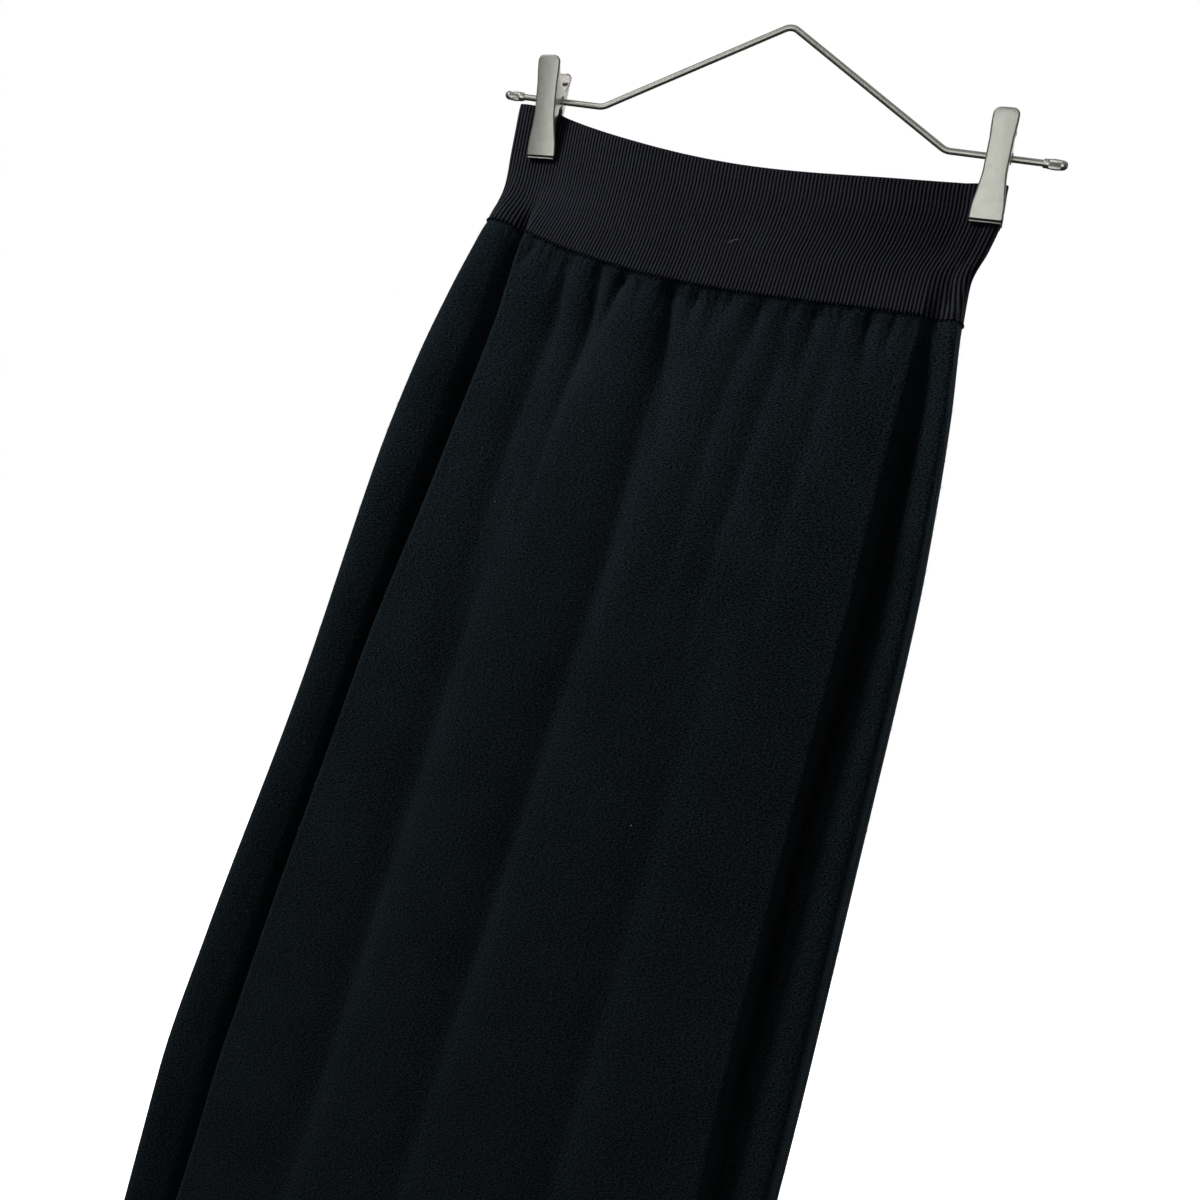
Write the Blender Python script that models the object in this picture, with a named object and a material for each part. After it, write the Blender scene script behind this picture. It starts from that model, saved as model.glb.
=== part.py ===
"""A long black knitted skirt hanging from the two clips of a bent-wire hanger.

Metres, +Z up, the front of the skirt towards -Y. The origin is the underside of the hanger's top bend,
where a peg carries it. The skirt hangs plumb below, and the hanger is swung a little about the peg,
because its right clip has bitten the waistband less deeply than its left one.
"""

import math
from collections import namedtuple

import bmesh
import bpy
import numpy as np
from mathutils import Matrix, Vector

# ---------------------------------------------------------------- driving dimensions

WIRE_DIAMETER = 0.004
HANGER_RISE = 0.063  # from the bar's centre line up to the underside of the top bend
BEND_HALF_SPAN = 0.113  # from the middle out to the bend between an arm and its bar
TIP_HALF_SPAN = 0.1846  # from the middle out to the end of a bar
TOP_BEND_RADIUS = 0.008
SIDE_BEND_RADIUS = 0.012
HANGER_SWING = math.radians(1.7)  # left end down

CAP_DIAMETER = 0.0066
CAP_LENGTH = 0.014
CAP_BORE_DEPTH = 0.009
CAP_SIDES = 14
CAP_EDGE = 0.0004

JAW_LENGTH = 0.0630
JAW_BAR_FROM_TOP = 0.0226  # along the plate, from its handle end to the bar
JAW_METAL = 0.0009
JAW_CORNER = 0.0012  # between a jaw's plate and its flanges
JAW_FRONT_LEAN = math.radians(13.0)
JAW_BACK_LEAN = math.radians(3.5)
PAD_GAP = 0.0066  # between the two pads' faces, across the pinched band
PAD_SIZE = (0.0186, 0.0012, 0.0085)
PAD_BEVEL = 0.00035
PAD_BELOW_JAW = 0.0012
SPRING_DIAMETER = 0.0078
SPRING_LENGTH = 0.0080
ROUND_SIDES = 20
CLEARANCE = 0.0003  # between pieces that meet

BAND_HEIGHT = 0.0822  # at its left end
BAND_TOP_Z = -0.073  # the waistband's upper left corner
BAND_DIP = 0.0185  # how far its upper edge sags between the clips, most left of the middle
SEAM_DIP = 0.0142  # how far the seam below it sags
DIP_SKEW = 0.5  # how much more the band's upper edge sags in its left half than in its right
SEAM_SKEW = 1.0  # the same for the seam
CLIP_HALF_SPAN = 0.150  # from the middle out to where the clips hold the band level
BAND_TILT = 0.0015  # how much lower its right end hangs
SEAM_TILT = 0.0050  # how much more the seam's right end does
BAND_INNER = 0.0010  # from the middle of the wall to its plain inside
RIB_VALLEY = 0.0006  # from the middle of the wall out to the bottom of a rib
RIB_CREST = 0.0012
RIB_COUNT = 282
RIBS_PER_INNER_STEP = 3

SKIRT_LENGTH = 0.869  # from the upper edge of the band to the hem
PANEL_WALL = 0.0015
HEM_WALL = 0.0026  # the hem is turned up once
HEM_DEPTH = 0.026
SEAM_GAP = 0.0003
HEM_STEP = 0.002  # over which the wall thickens into the hem
SIDE_SEAM_FROM_SIDE = 0.012  # the skirt hangs turned, with its right seam this far round to the front
SAG_ENDS = 0.6  # the drop below which the cloth hangs level

# Level sections of the hanging tube, in the order that they come down from the band's upper edge.
# left, right: the two outer folds. belly, seat: how far the front and the back stand out.
# brow: the ridges where the front turns in. crest: the strips outside them. floor: the valleys between.
# from_left, from_right: how far in from the outer folds those ridges lie.
Section = namedtuple("Section", "drop left right belly brow crest floor from_left from_right seat")
SECTIONS = (
    Section(0.000, -0.1695, 0.1565, 0.0110, 0.0016, 0.0015, 0.0015, 0.037, 0.024, 0.0110),
    Section(0.020, -0.1680, 0.1585, 0.0120, 0.0016, 0.0015, 0.0015, 0.037, 0.024, 0.0120),
    Section(0.038, -0.1663, 0.1560, 0.0130, 0.0016, 0.0015, 0.0015, 0.037, 0.023, 0.0130),
    Section(0.058, -0.1640, 0.1510, 0.0150, 0.0070, 0.0040, 0.0045, 0.033, 0.022, 0.0150),
    Section(0.079, -0.1680, 0.1528, 0.0170, 0.0130, 0.0085, 0.0070, 0.034, 0.023, 0.0160),
    Section(0.138, -0.1825, 0.1622, 0.0270, 0.0220, 0.0130, 0.0055, 0.044, 0.029, 0.0260),
    Section(0.188, -0.1915, 0.1685, 0.0350, 0.0290, 0.0170, 0.0050, 0.051, 0.033, 0.0330),
    Section(0.260, -0.1995, 0.1755, 0.0400, 0.0350, 0.0200, 0.0050, 0.056, 0.036, 0.0380),
    Section(0.410, -0.2075, 0.1835, 0.0420, 0.0370, 0.0220, 0.0060, 0.051, 0.042, 0.0400),
    Section(0.610, -0.2275, 0.1930, 0.0430, 0.0380, 0.0240, 0.0090, 0.056, 0.048, 0.0410),
    Section(0.710, -0.2345, 0.1955, 0.0430, 0.0380, 0.0250, 0.0110, 0.058, 0.049, 0.0410),
    Section(0.869, -0.2330, 0.1930, 0.0420, 0.0360, 0.0240, 0.0120, 0.050, 0.046, 0.0400),
)

# Gathers and folds that run down from the seam. x is where one leaves the seam and lean its drift to the
# right for each metre down; depth is the groove's, width its half width and length how far down it fades.
Fold = namedtuple("Fold", "x lean depth width length")
FRONT_GATHERS = (
    Fold(-0.123, -0.30, 0.0012, 0.0050, 0.022),
    Fold(-0.110, 0.00, 0.0010, 0.0050, 0.024),
    Fold(-0.100, 0.10, 0.0016, 0.0060, 0.075),
    Fold(-0.076, 0.10, 0.0022, 0.0055, 0.060),
    Fold(-0.057, -0.15, 0.0024, 0.0060, 0.055),
    Fold(-0.044, 0.00, 0.0009, 0.0050, 0.020),
    Fold(-0.026, 0.22, 0.0032, 0.0070, 0.095),
    Fold(-0.006, -0.05, 0.0016, 0.0060, 0.028),
    Fold(0.006, 0.05, 0.0014, 0.0050, 0.030),
    Fold(0.016, -0.15, 0.0012, 0.0050, 0.022),
    Fold(0.035, 0.00, 0.0018, 0.0060, 0.034),
    Fold(0.053, 0.00, 0.0011, 0.0050, 0.024),
    Fold(0.070, 0.00, 0.0019, 0.0080, 0.050),
    Fold(0.085, 0.05, 0.0009, 0.0050, 0.020),
    Fold(0.101, 0.12, 0.0021, 0.0050, 0.032),
    Fold(0.116, 0.00, 0.0012, 0.0050, 0.024),
    Fold(0.128, 0.05, 0.0010, 0.0050, 0.020),
)
BACK_GATHERS = (
    Fold(-0.120, 0.10, 0.0014, 0.0055, 0.030),
    Fold(-0.104, -0.10, 0.0020, 0.0060, 0.055),
    Fold(-0.083, 0.00, 0.0012, 0.0050, 0.024),
    Fold(-0.066, 0.12, 0.0026, 0.0065, 0.080),
    Fold(-0.043, 0.00, 0.0015, 0.0055, 0.032),
    Fold(-0.027, -0.08, 0.0019, 0.0060, 0.050),
    Fold(-0.008, 0.05, 0.0011, 0.0050, 0.022),
    Fold(0.011, 0.15, 0.0028, 0.0070, 0.090),
    Fold(0.032, 0.00, 0.0013, 0.0050, 0.026),
    Fold(0.049, -0.10, 0.0021, 0.0060, 0.058),
    Fold(0.070, 0.00, 0.0012, 0.0055, 0.028),
    Fold(0.088, 0.10, 0.0022, 0.0060, 0.062),
    Fold(0.108, 0.00, 0.0014, 0.0050, 0.030),
    Fold(0.124, 0.05, 0.0011, 0.0050, 0.022),
)

# The gathered cloth just below the seam, between its grooves.
PUFF = 0.0009
PUFF_LENGTH = 0.05
SEAM_HOLD = 0.010  # the drop over which it swells out from under the seam
GATHER_OPENING = 0.10  # the drop over which a gather widens to double

# Long soft folds lower down: x at the seam, lean, depth, half width, and the drop where one is deepest.
SoftFold = namedtuple("SoftFold", "x lean depth width drop reach")
FRONT_SOFT_FOLDS = (
    SoftFold(-0.082, -0.035, 0.0050, 0.024, 0.42, 0.34),
    SoftFold(-0.004, -0.040, 0.0042, 0.020, 0.40, 0.30),
    SoftFold(0.071, -0.010, 0.0030, 0.022, 0.52, 0.30),
)
BACK_SOFT_FOLDS = (
    SoftFold(-0.060, -0.030, 0.0045, 0.024, 0.45, 0.34),
    SoftFold(0.018, 0.010, 0.0040, 0.022, 0.38, 0.32),
    SoftFold(0.088, 0.020, 0.0034, 0.020, 0.55, 0.30),
)

PANEL_DROPS = (0.000, 0.010, 0.024, 0.045, 0.078, 0.122, 0.185, 0.270, 0.370, 0.490, 0.620)
FRONT_COLUMNS = 66
BACK_COLUMNS = 54
BAND_DROPS = (0.000, 0.037, 0.057, BAND_HEIGHT)

KNIT_BLACK = (0.0050, 0.0066, 0.0080, 1.0)
RIB_BLACK = (0.0090, 0.0092, 0.0110, 1.0)
SATIN_METAL = (0.56, 0.55, 0.51, 1.0)
CAP_METAL = (0.62, 0.61, 0.58, 1.0)
PAD_BLACK = (0.03, 0.03, 0.03, 1.0)


# ---------------------------------------------------------------- scene and materials


def clear_scene():
    for obj in list(bpy.data.objects):
        bpy.data.objects.remove(obj, do_unlink=True)


def material(name, colour, roughness, metallic=0.0):
    made = bpy.data.materials.new(name)
    made.use_nodes = True
    shader = made.node_tree.nodes["Principled BSDF"]
    shader.inputs["Base Color"].default_value = colour
    shader.inputs["Roughness"].default_value = roughness
    shader.inputs["Metallic"].default_value = metallic
    return made


def add_object(name, data, finish):
    obj = bpy.data.objects.new(name, data)
    data.materials.append(finish)
    bpy.context.scene.collection.objects.link(obj)
    return obj


def add_mesh(name, points, faces, finish):
    """A closed mesh object with its faces turned out."""
    mesh = bpy.data.meshes.new(name)
    mesh.from_pydata([tuple(point) for point in points], [], faces)
    shape = bmesh.new()
    shape.from_mesh(mesh)
    bmesh.ops.recalc_face_normals(shape, faces=shape.faces)
    shape.to_mesh(mesh)
    shape.free()
    mesh.shade_smooth()
    mesh.set_sharp_from_angle(angle=math.radians(40.0))
    return add_object(name, mesh, finish)


# ---------------------------------------------------------------- the hanging tube


def smoothstep(low, high, value):
    t = np.clip((value - low) / (high - low), 0.0, 1.0)
    return t * t * (3.0 - 2.0 * t)


def eased(knots, values, at):
    """The value at one drop, on a curve through the table that never overshoots it."""
    knots = np.asarray(knots, float)
    values = np.asarray(values, float)
    steps = np.diff(knots)
    slopes = np.diff(values) / steps
    tangents = np.zeros(len(knots))
    for i in range(1, len(knots) - 1):
        if slopes[i - 1] * slopes[i] > 0.0:
            tangents[i] = 2.0 * slopes[i - 1] * slopes[i] / (slopes[i - 1] + slopes[i])
    i = int(np.clip(np.searchsorted(knots, at) - 1, 0, len(knots) - 2))
    t = (at - knots[i]) / steps[i]
    return (
        (2 * t**3 - 3 * t**2 + 1) * values[i]
        + (t**3 - 2 * t**2 + t) * steps[i] * tangents[i]
        + (3 * t**2 - 2 * t**3) * values[i + 1]
        + (t**3 - t**2) * steps[i] * tangents[i + 1]
    )


def section_at(drop):
    drops = [section.drop for section in SECTIONS]
    columns = zip(*SECTIONS)
    return Section(*(eased(drops, column, drop) for column in columns))


def guide_points(cut):
    """The loop that a level section follows, from its left outer fold round by the front."""
    inner_left = cut.left + cut.from_left
    inner_right = cut.right - cut.from_right
    across = inner_right - inner_left
    back_left = cut.left + 1.10 * cut.from_left
    back_right = cut.right - 1.05 * cut.from_right
    back_across = back_right - back_left
    return np.array(
        [
            (cut.left, 0.0),
            (cut.left + 0.35 * cut.from_left, -cut.crest),
            (cut.left + 0.76 * cut.from_left, -cut.floor),
            (inner_left, -cut.brow),
            (inner_left + 0.20 * across, -0.5 * (cut.brow + cut.belly) - 0.42 * (cut.belly - cut.brow)),
            (inner_left + 0.50 * across, -cut.belly),
            (inner_left + 0.80 * across, -0.5 * (cut.brow + cut.belly) - 0.38 * (cut.belly - cut.brow)),
            (inner_right, -cut.brow),
            (cut.right - 0.62 * cut.from_right, -cut.floor),
            (cut.right - 0.42 * cut.from_right, -0.95 * cut.crest),
            (cut.right, 0.0),
            (cut.right - 0.40 * cut.from_right, 0.90 * cut.crest),
            (cut.right - 0.76 * cut.from_right, 1.15 * cut.floor),
            (back_right, 0.94 * cut.brow),
            (back_right - 0.22 * back_across, 0.55 * cut.seat + 0.45 * cut.brow),
            (back_right - 0.52 * back_across, cut.seat),
            (back_right - 0.80 * back_across, 0.60 * cut.seat + 0.40 * cut.brow),
            (back_left, 0.92 * cut.brow),
            (cut.left + 0.80 * cut.from_left, 1.20 * cut.floor),
            (cut.left + 0.38 * cut.from_left, 1.05 * cut.crest),
        ]
    )


def smooth_loop(points, steps=64):
    """A closed Catmull-Rom curve through the points, spaced by the root of each chord."""
    count = len(points)
    loop = []
    for i in range(count):
        p0, p1, p2, p3 = (points[(i + k) % count] for k in (-1, 0, 1, 2))
        t1 = np.linalg.norm(p1 - p0) ** 0.5
        t2 = t1 + np.linalg.norm(p2 - p1) ** 0.5
        t3 = t2 + np.linalg.norm(p3 - p2) ** 0.5
        t = (t1 + (t2 - t1) * np.arange(steps) / steps)[:, None]
        a1 = (t1 - t) / t1 * p0 + t / t1 * p1
        a2 = (t2 - t) / (t2 - t1) * p1 + (t - t1) / (t2 - t1) * p2
        a3 = (t3 - t) / (t3 - t2) * p2 + (t - t2) / (t3 - t2) * p3
        b1 = (t2 - t) / t2 * a1 + t / t2 * a2
        b2 = (t3 - t) / (t3 - t1) * a2 + (t - t1) / (t3 - t1) * a3
        loop.append((t2 - t) / (t2 - t1) * b1 + (t - t1) / (t2 - t1) * b2)
    return np.concatenate(loop)


class Ring:
    """One level section, read by the distance round it from the left outer fold, by the front."""

    def __init__(self, drop):
        cut = section_at(drop)
        points = smooth_loop(guide_points(cut))
        self.closed = np.vstack([points, points[:1]])
        steps = np.linalg.norm(np.diff(self.closed, axis=0), axis=1)
        self.along = np.concatenate([[0.0], np.cumsum(steps)])
        self.length = self.along[-1]
        tangent = np.roll(points, -1, axis=0) - np.roll(points, 1, axis=0)
        normal = np.stack([tangent[:, 1], -tangent[:, 0]], axis=1)
        normal /= np.linalg.norm(normal, axis=1)[:, None]
        self.normals = np.vstack([normal, normal[:1]])
        self.right_fold = self.along[int(np.argmax(points[:, 0]))]

    def read(self, distance):
        """Points and outward normals at these distances round the ring."""
        distance = np.mod(distance, self.length)
        point = np.stack([np.interp(distance, self.along, self.closed[:, k]) for k in (0, 1)], axis=1)
        normal = np.stack([np.interp(distance, self.along, self.normals[:, k]) for k in (0, 1)], axis=1)
        return point, normal / np.linalg.norm(normal, axis=1)[:, None]


def height(x, drop):
    """The level of a point of the cloth: the band sags between the clips, and the hem is level."""
    across = np.clip((x + CLIP_HALF_SPAN) / (2.0 * CLIP_HALF_SPAN), 0.0, 1.0)
    share = np.clip(drop / BAND_HEIGHT, 0.0, 1.0)
    skew = 1.0 + (DIP_SKEW + (SEAM_SKEW - DIP_SKEW) * share) * (0.5 - across)
    dip = (BAND_DIP + (SEAM_DIP - BAND_DIP) * share) * 4.0 * across * (1.0 - across) * skew
    tilt = (BAND_TILT + SEAM_TILT * share) * (x - SECTIONS[0].left) / (SECTIONS[0].right - SECTIONS[0].left)
    fade = 1.0 - smoothstep(BAND_HEIGHT, SAG_ENDS, drop)
    return BAND_TOP_Z - drop - (dip + tilt) * fade


def placed(flat, drop):
    """Level points given their height."""
    return np.column_stack([flat, height(flat[:, 0], drop)])


# ---------------------------------------------------------------- waistband


def make_waistband(finish):
    """One knitted rib tube: ribs raised on the outside, plain inside."""
    around = 2 * RIB_COUNT
    inner_around = RIB_COUNT // RIBS_PER_INNER_STEP
    outer_rows = []
    inner_rows = []
    for drop in BAND_DROPS:
        ring = Ring(drop)
        spot, normal = ring.read(ring.length * np.arange(around) / around)
        relief = np.where(np.arange(around) % 2 == 0, RIB_VALLEY, RIB_CREST)
        outer_rows.append(placed(spot + normal * relief[:, None], drop))
        spot, normal = ring.read(ring.length * np.arange(inner_around) / inner_around)
        inner_rows.append(placed(spot - normal * BAND_INNER, drop))
    points = np.concatenate(outer_rows + inner_rows)
    first_inner = around * len(BAND_DROPS)
    faces = []
    for count, first in ((around, 0), (inner_around, first_inner)):
        for row in range(len(BAND_DROPS) - 1):
            for i in range(count):
                j = (i + 1) % count
                upper = first + row * count
                lower = upper + count
                faces.append((upper + i, upper + j, lower + j, lower + i))
    step = around // inner_around
    for row in (0, len(BAND_DROPS) - 1):
        outer = row * around
        inner = first_inner + row * inner_around
        for i in range(inner_around):
            near = inner + i
            far = inner + (i + 1) % inner_around
            rim = [outer + (step * i + k) % around for k in range(step + 1)]
            half = step // 2
            faces += [(near, rim[k], rim[k + 1]) for k in range(half)]
            faces.append((near, rim[half], far))
            faces += [(far, rim[k], rim[k + 1]) for k in range(half, step)]
    return add_mesh("waistband", points, faces, finish)


# ---------------------------------------------------------------- skirt panels


def relief(x, drop, gathers, soft_folds):
    """How far the gathers and soft folds move the cloth in or out, drop being measured from the seam."""
    start = smoothstep(0.0, SEAM_HOLD, drop)
    moved = np.full_like(x, PUFF * (0.3 + 0.7 * start) * np.exp(-((drop / PUFF_LENGTH) ** 2)))
    for fold in gathers:
        centre = fold.x + fold.lean * drop
        fade = (0.25 + 0.75 * start) * np.exp(-((drop / fold.length) ** 2))
        spread = fold.width * (1.0 + drop / GATHER_OPENING)
        moved = moved - fold.depth * fade * np.exp(-(((x - centre) / spread) ** 2))
    for fold in soft_folds:
        centre = fold.x + fold.lean * drop
        fade = np.exp(-(((drop - fold.drop) / fold.reach) ** 2)) * smoothstep(0.0, 0.12, drop)
        moved = moved - fold.depth * fade * np.exp(-(((x - centre) / fold.width) ** 2))
    return moved


def wall_at(drop):
    """The panel's wall, which the turned hem doubles."""
    hem_top = SKIRT_LENGTH - HEM_DEPTH
    at_hem = smoothstep(hem_top - HEM_STEP, hem_top, drop)
    return PANEL_WALL + (HEM_WALL - PANEL_WALL) * at_hem


def side_seams(ring):
    """The distances round the ring of the right side seam and, half the tube on, the left one."""
    right = ring.right_fold - SIDE_SEAM_FROM_SIDE
    return right, right + 0.5 * ring.length


def make_panel(name, columns, front, gathers, soft_folds, finish):
    """A panel from side seam to side seam, hung from the band's lower edge."""
    drops = [BAND_HEIGHT + SEAM_GAP + drop for drop in PANEL_DROPS]
    drops += [SKIRT_LENGTH - HEM_DEPTH - HEM_STEP, SKIRT_LENGTH - HEM_DEPTH, SKIRT_LENGTH]
    outer = []
    inner = []
    for drop in drops:
        ring = Ring(drop)
        right, left = side_seams(ring)
        start, end = (left - ring.length, right) if front else (right, left)
        spot, normal = ring.read(np.linspace(start + 0.5 * SEAM_GAP, end - 0.5 * SEAM_GAP, columns))
        moved = relief(spot[:, 0], drop - BAND_HEIGHT - SEAM_GAP, gathers, soft_folds)
        facing = smoothstep(0.25, 0.75, np.abs(normal[:, 1]))
        spot = spot + normal * (moved * facing)[:, None]
        wall = wall_at(drop)
        outer.append(placed(spot + normal * 0.5 * PANEL_WALL, drop))
        inner.append(placed(spot - normal * (wall - 0.5 * PANEL_WALL), drop))
    rows = len(drops)
    points = np.concatenate(outer + inner)
    back = rows * columns
    faces = []
    for row in range(rows - 1):
        for i in range(columns - 1):
            corner = row * columns + i
            quad = (corner, corner + 1, corner + columns + 1, corner + columns)
            faces.append(quad)
            faces.append(tuple(back + k for k in reversed(quad)))
    rim = list(range(columns))
    rim += [row * columns + columns - 1 for row in range(1, rows)]
    rim += [(rows - 1) * columns + i for i in range(columns - 2, -1, -1)]
    rim += [row * columns for row in range(rows - 2, 0, -1)]
    for near, far in zip(rim, rim[1:] + rim[:1]):
        faces.append((far, near, back + near, back + far))
    return add_mesh(name, points, faces, finish)


# ---------------------------------------------------------------- hanger


def swung(matrix):
    """A placing in the hanger's own upright frame, swung about the peg."""
    return Matrix.Rotation(-HANGER_SWING, 4, "Y") @ matrix


def bend(before, corner, after, radius, steps):
    """An arc that rounds the corner of a bent wire."""
    before, corner, after = Vector(before), Vector(corner), Vector(after)
    inward = (before - corner).normalized()
    outward = (after - corner).normalized()
    half = 0.5 * inward.angle(outward)
    centre = corner + (inward + outward).normalized() * radius / math.sin(half)
    reach = radius / math.tan(half)
    first = (corner + inward * reach - centre).normalized()
    last = (corner + outward * reach - centre).normalized()
    return [centre + radius * first.slerp(last, k / steps) for k in range(steps + 1)]


def hanger_path():
    """The wire's centre line, from its left end to its right end, in the hanger's own frame."""
    bar = -HANGER_RISE
    slope = math.atan2(HANGER_RISE, BEND_HALF_SPAN)
    # The corner of the top bend lies above its underside, by the rounding and the wire's own radius.
    apex = 0.5 * WIRE_DIAMETER + TOP_BEND_RADIUS * (1.0 / math.cos(slope) - 1.0)
    reach = TIP_HALF_SPAN - CAP_LENGTH + CAP_BORE_DEPTH - CLEARANCE
    corners = [
        (-reach, 0.0, bar),
        (-BEND_HALF_SPAN, 0.0, bar),
        (0.0, 0.0, apex),
        (BEND_HALF_SPAN, 0.0, bar),
        (reach, 0.0, bar),
    ]
    path = [Vector(corners[0])]
    path += bend(*corners[0:3], SIDE_BEND_RADIUS, 5)
    path += bend(*corners[1:4], TOP_BEND_RADIUS, 8)
    path += bend(*corners[2:5], SIDE_BEND_RADIUS, 5)
    path.append(Vector(corners[4]))
    return path


def make_wire(finish):
    """The bent wire: two bars and two arms, with the peg's bend at the top."""
    curve = bpy.data.curves.new("hanger_wire", "CURVE")
    curve.dimensions = "3D"
    curve.bevel_depth = 0.5 * WIRE_DIAMETER
    curve.bevel_resolution = 3
    curve.use_fill_caps = True
    path = hanger_path()
    spline = curve.splines.new("POLY")
    spline.points.add(len(path) - 1)
    for point, place in zip(spline.points, path):
        point.co = (*place, 1.0)
    obj = add_object("hanger_wire", curve, finish)
    obj.matrix_world = swung(Matrix.Identity(4))
    return obj


def turned(name, profile, sides, finish):
    """A solid of revolution about local X from (x, radius) pairs that begin and end on the axis."""
    points = []
    rings = []
    for x, radius in profile:
        if radius == 0.0:
            rings.append([len(points)])
            points.append((x, 0.0, 0.0))
            continue
        rings.append(list(range(len(points), len(points) + sides)))
        turns = [2.0 * math.pi * k / sides for k in range(sides)]
        points += [(x, radius * math.cos(turn), radius * math.sin(turn)) for turn in turns]
    faces = []
    for near, far in zip(rings, rings[1:]):
        for k in range(sides):
            m = (k + 1) % sides
            corners = [near[k % len(near)], near[m % len(near)], far[m % len(far)], far[k % len(far)]]
            faces.append(tuple(dict.fromkeys(corners)))
    return add_mesh(name, points, faces, finish)


def make_cap(name, side, finish):
    """A round-nosed cap pushed over the end of a bar."""
    radius = 0.5 * CAP_DIAMETER
    bore = 0.5 * WIRE_DIAMETER + CLEARANCE
    profile = [
        (CAP_BORE_DEPTH, 0.0),
        (CAP_BORE_DEPTH, bore),
        (0.0, bore),
        (0.0, radius - CAP_EDGE),
        (CAP_EDGE, radius),
        (0.79 * CAP_LENGTH, radius),
        (0.93 * CAP_LENGTH, 0.80 * radius),
        (CAP_LENGTH, 0.45 * radius),
        (CAP_LENGTH, 0.0),
    ]
    cap = turned(name, profile, CAP_SIDES, finish)
    facing = Matrix.Rotation(0.0 if side > 0 else math.pi, 4, "Z")
    mouth = Matrix.Translation((side * (TIP_HALF_SPAN - CAP_LENGTH), 0.0, -HANGER_RISE))
    cap.matrix_world = swung(mouth @ facing)
    return cap


# ---------------------------------------------------------------- clips

# A jaw is a bent plate. along is measured up it from its gripping end, width is its own and flange how
# far its two sides are folded back: an hourglass that folds deepest where the bar runs through it.
Station = namedtuple("Station", "along width flange")
FRONT_JAW = (
    Station(0.0000, 0.0200, 0.0013),
    Station(0.0060, 0.0198, 0.0015),
    Station(0.0130, 0.0180, 0.0022),
    Station(0.0200, 0.0158, 0.0045),
    Station(0.0258, 0.0144, 0.0072),
    Station(0.0326, 0.0137, 0.0095),
    Station(0.0342, 0.0135, 0.0160),
    Station(0.0370, 0.0134, 0.0182),
    Station(0.0417, 0.0137, 0.0172),
    Station(0.0462, 0.0143, 0.0110),
    Station(0.0512, 0.0149, 0.0050),
    Station(0.0567, 0.0154, 0.0022),
    Station(0.0616, 0.0154, 0.0016),
    Station(0.0630, 0.0142, 0.0015),
)
BACK_JAW = (
    Station(0.0000, 0.0200, 0.0013),
    Station(0.0060, 0.0196, 0.0014),
    Station(0.0130, 0.0160, 0.0016),
    Station(0.0200, 0.0124, 0.0020),
    Station(0.0285, 0.0110, 0.0028),
    Station(0.0353, 0.0109, 0.0042),
    Station(0.0369, 0.0109, 0.0100),
    Station(0.0399, 0.0109, 0.0115),
    Station(0.0442, 0.0109, 0.0100),
    Station(0.0497, 0.0112, 0.0045),
    Station(0.0547, 0.0124, 0.0022),
    Station(0.0612, 0.0134, 0.0016),
    Station(0.0630, 0.0124, 0.0015),
)


def jaw_cut(station):
    """The U-shaped section of a jaw: (across, inward) pairs, the plate's face at inward 0."""
    half = 0.5 * station.width
    flange = station.flange
    corner = min(JAW_CORNER, 0.45 * flange)
    fillet = JAW_METAL + 0.0003
    floor = min(fillet, flange - 0.0002)
    return [
        (-half, flange),
        (-half, corner),
        (-half + 0.3 * corner, 0.3 * corner),
        (-half + corner, 0.0),
        (half - corner, 0.0),
        (half - 0.3 * corner, 0.3 * corner),
        (half, corner),
        (half, flange),
        (half - JAW_METAL, flange),
        (half - JAW_METAL, floor),
        (half - fillet, JAW_METAL),
        (-half + fillet, JAW_METAL),
        (-half + JAW_METAL, floor),
        (-half + JAW_METAL, flange),
    ]


def jaw_frame(lean, front):
    """The jaw's frame about the bar: local X across, local Y inward from the plate, local Z up it."""
    facing = Matrix.Identity(4) if front else Matrix.Rotation(math.pi, 4, "Z")
    tilt = Matrix.Rotation(lean, 4, "X")
    grip = Vector((0.0, -0.5 * PAD_GAP - PAD_SIZE[1] - CLEARANCE - JAW_METAL, 0.0))
    below = JAW_LENGTH - JAW_BAR_FROM_TOP
    foot = Matrix.Translation(grip + Vector((0.0, 0.0, -below * math.cos(lean))))
    return facing @ foot @ tilt


def bar_cutter(name, radius, frame):
    """A round cutter along the bar, twice as long as a clip is wide."""
    mesh = bpy.data.meshes.new(name)
    shape = bmesh.new()
    turn = Matrix.Rotation(0.5 * math.pi, 4, "Y")
    size = {"radius1": radius, "radius2": radius, "depth": 2.0 * PAD_SIZE[0]}
    bmesh.ops.create_cone(shape, cap_ends=True, segments=ROUND_SIDES, matrix=turn, **size)
    shape.to_mesh(mesh)
    shape.free()
    cutter = bpy.data.objects.new(name, mesh)
    bpy.context.scene.collection.objects.link(cutter)
    cutter.hide_render = True
    cutter.display_type = "WIRE"
    cutter.matrix_world = frame
    return cutter


def make_jaw(name, stations, lean, front, place, bar, finish):
    """A jaw from its table of stations, bored for the bar, which runs through it a little askew."""
    cuts = [[(x, y, station.along) for x, y in jaw_cut(station)] for station in stations]
    points = [point for cut in cuts for point in cut]
    size = len(cuts[0])
    faces = [tuple(range(size)), tuple(range(len(points) - size, len(points)))]
    for row in range(len(cuts) - 1):
        for i in range(size):
            j = (i + 1) % size
            faces.append((row * size + i, row * size + j, (row + 1) * size + j, (row + 1) * size + i))
    jaw = add_mesh(name, points, faces, finish)
    jaw.matrix_world = place @ jaw_frame(lean, front)
    hole = jaw.modifiers.new("bar hole", "BOOLEAN")
    hole.operation = "DIFFERENCE"
    hole.solver = "EXACT"
    hole.object = bar_cutter(name + "_bore", 0.5 * WIRE_DIAMETER + CLEARANCE, bar)
    return jaw


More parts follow.
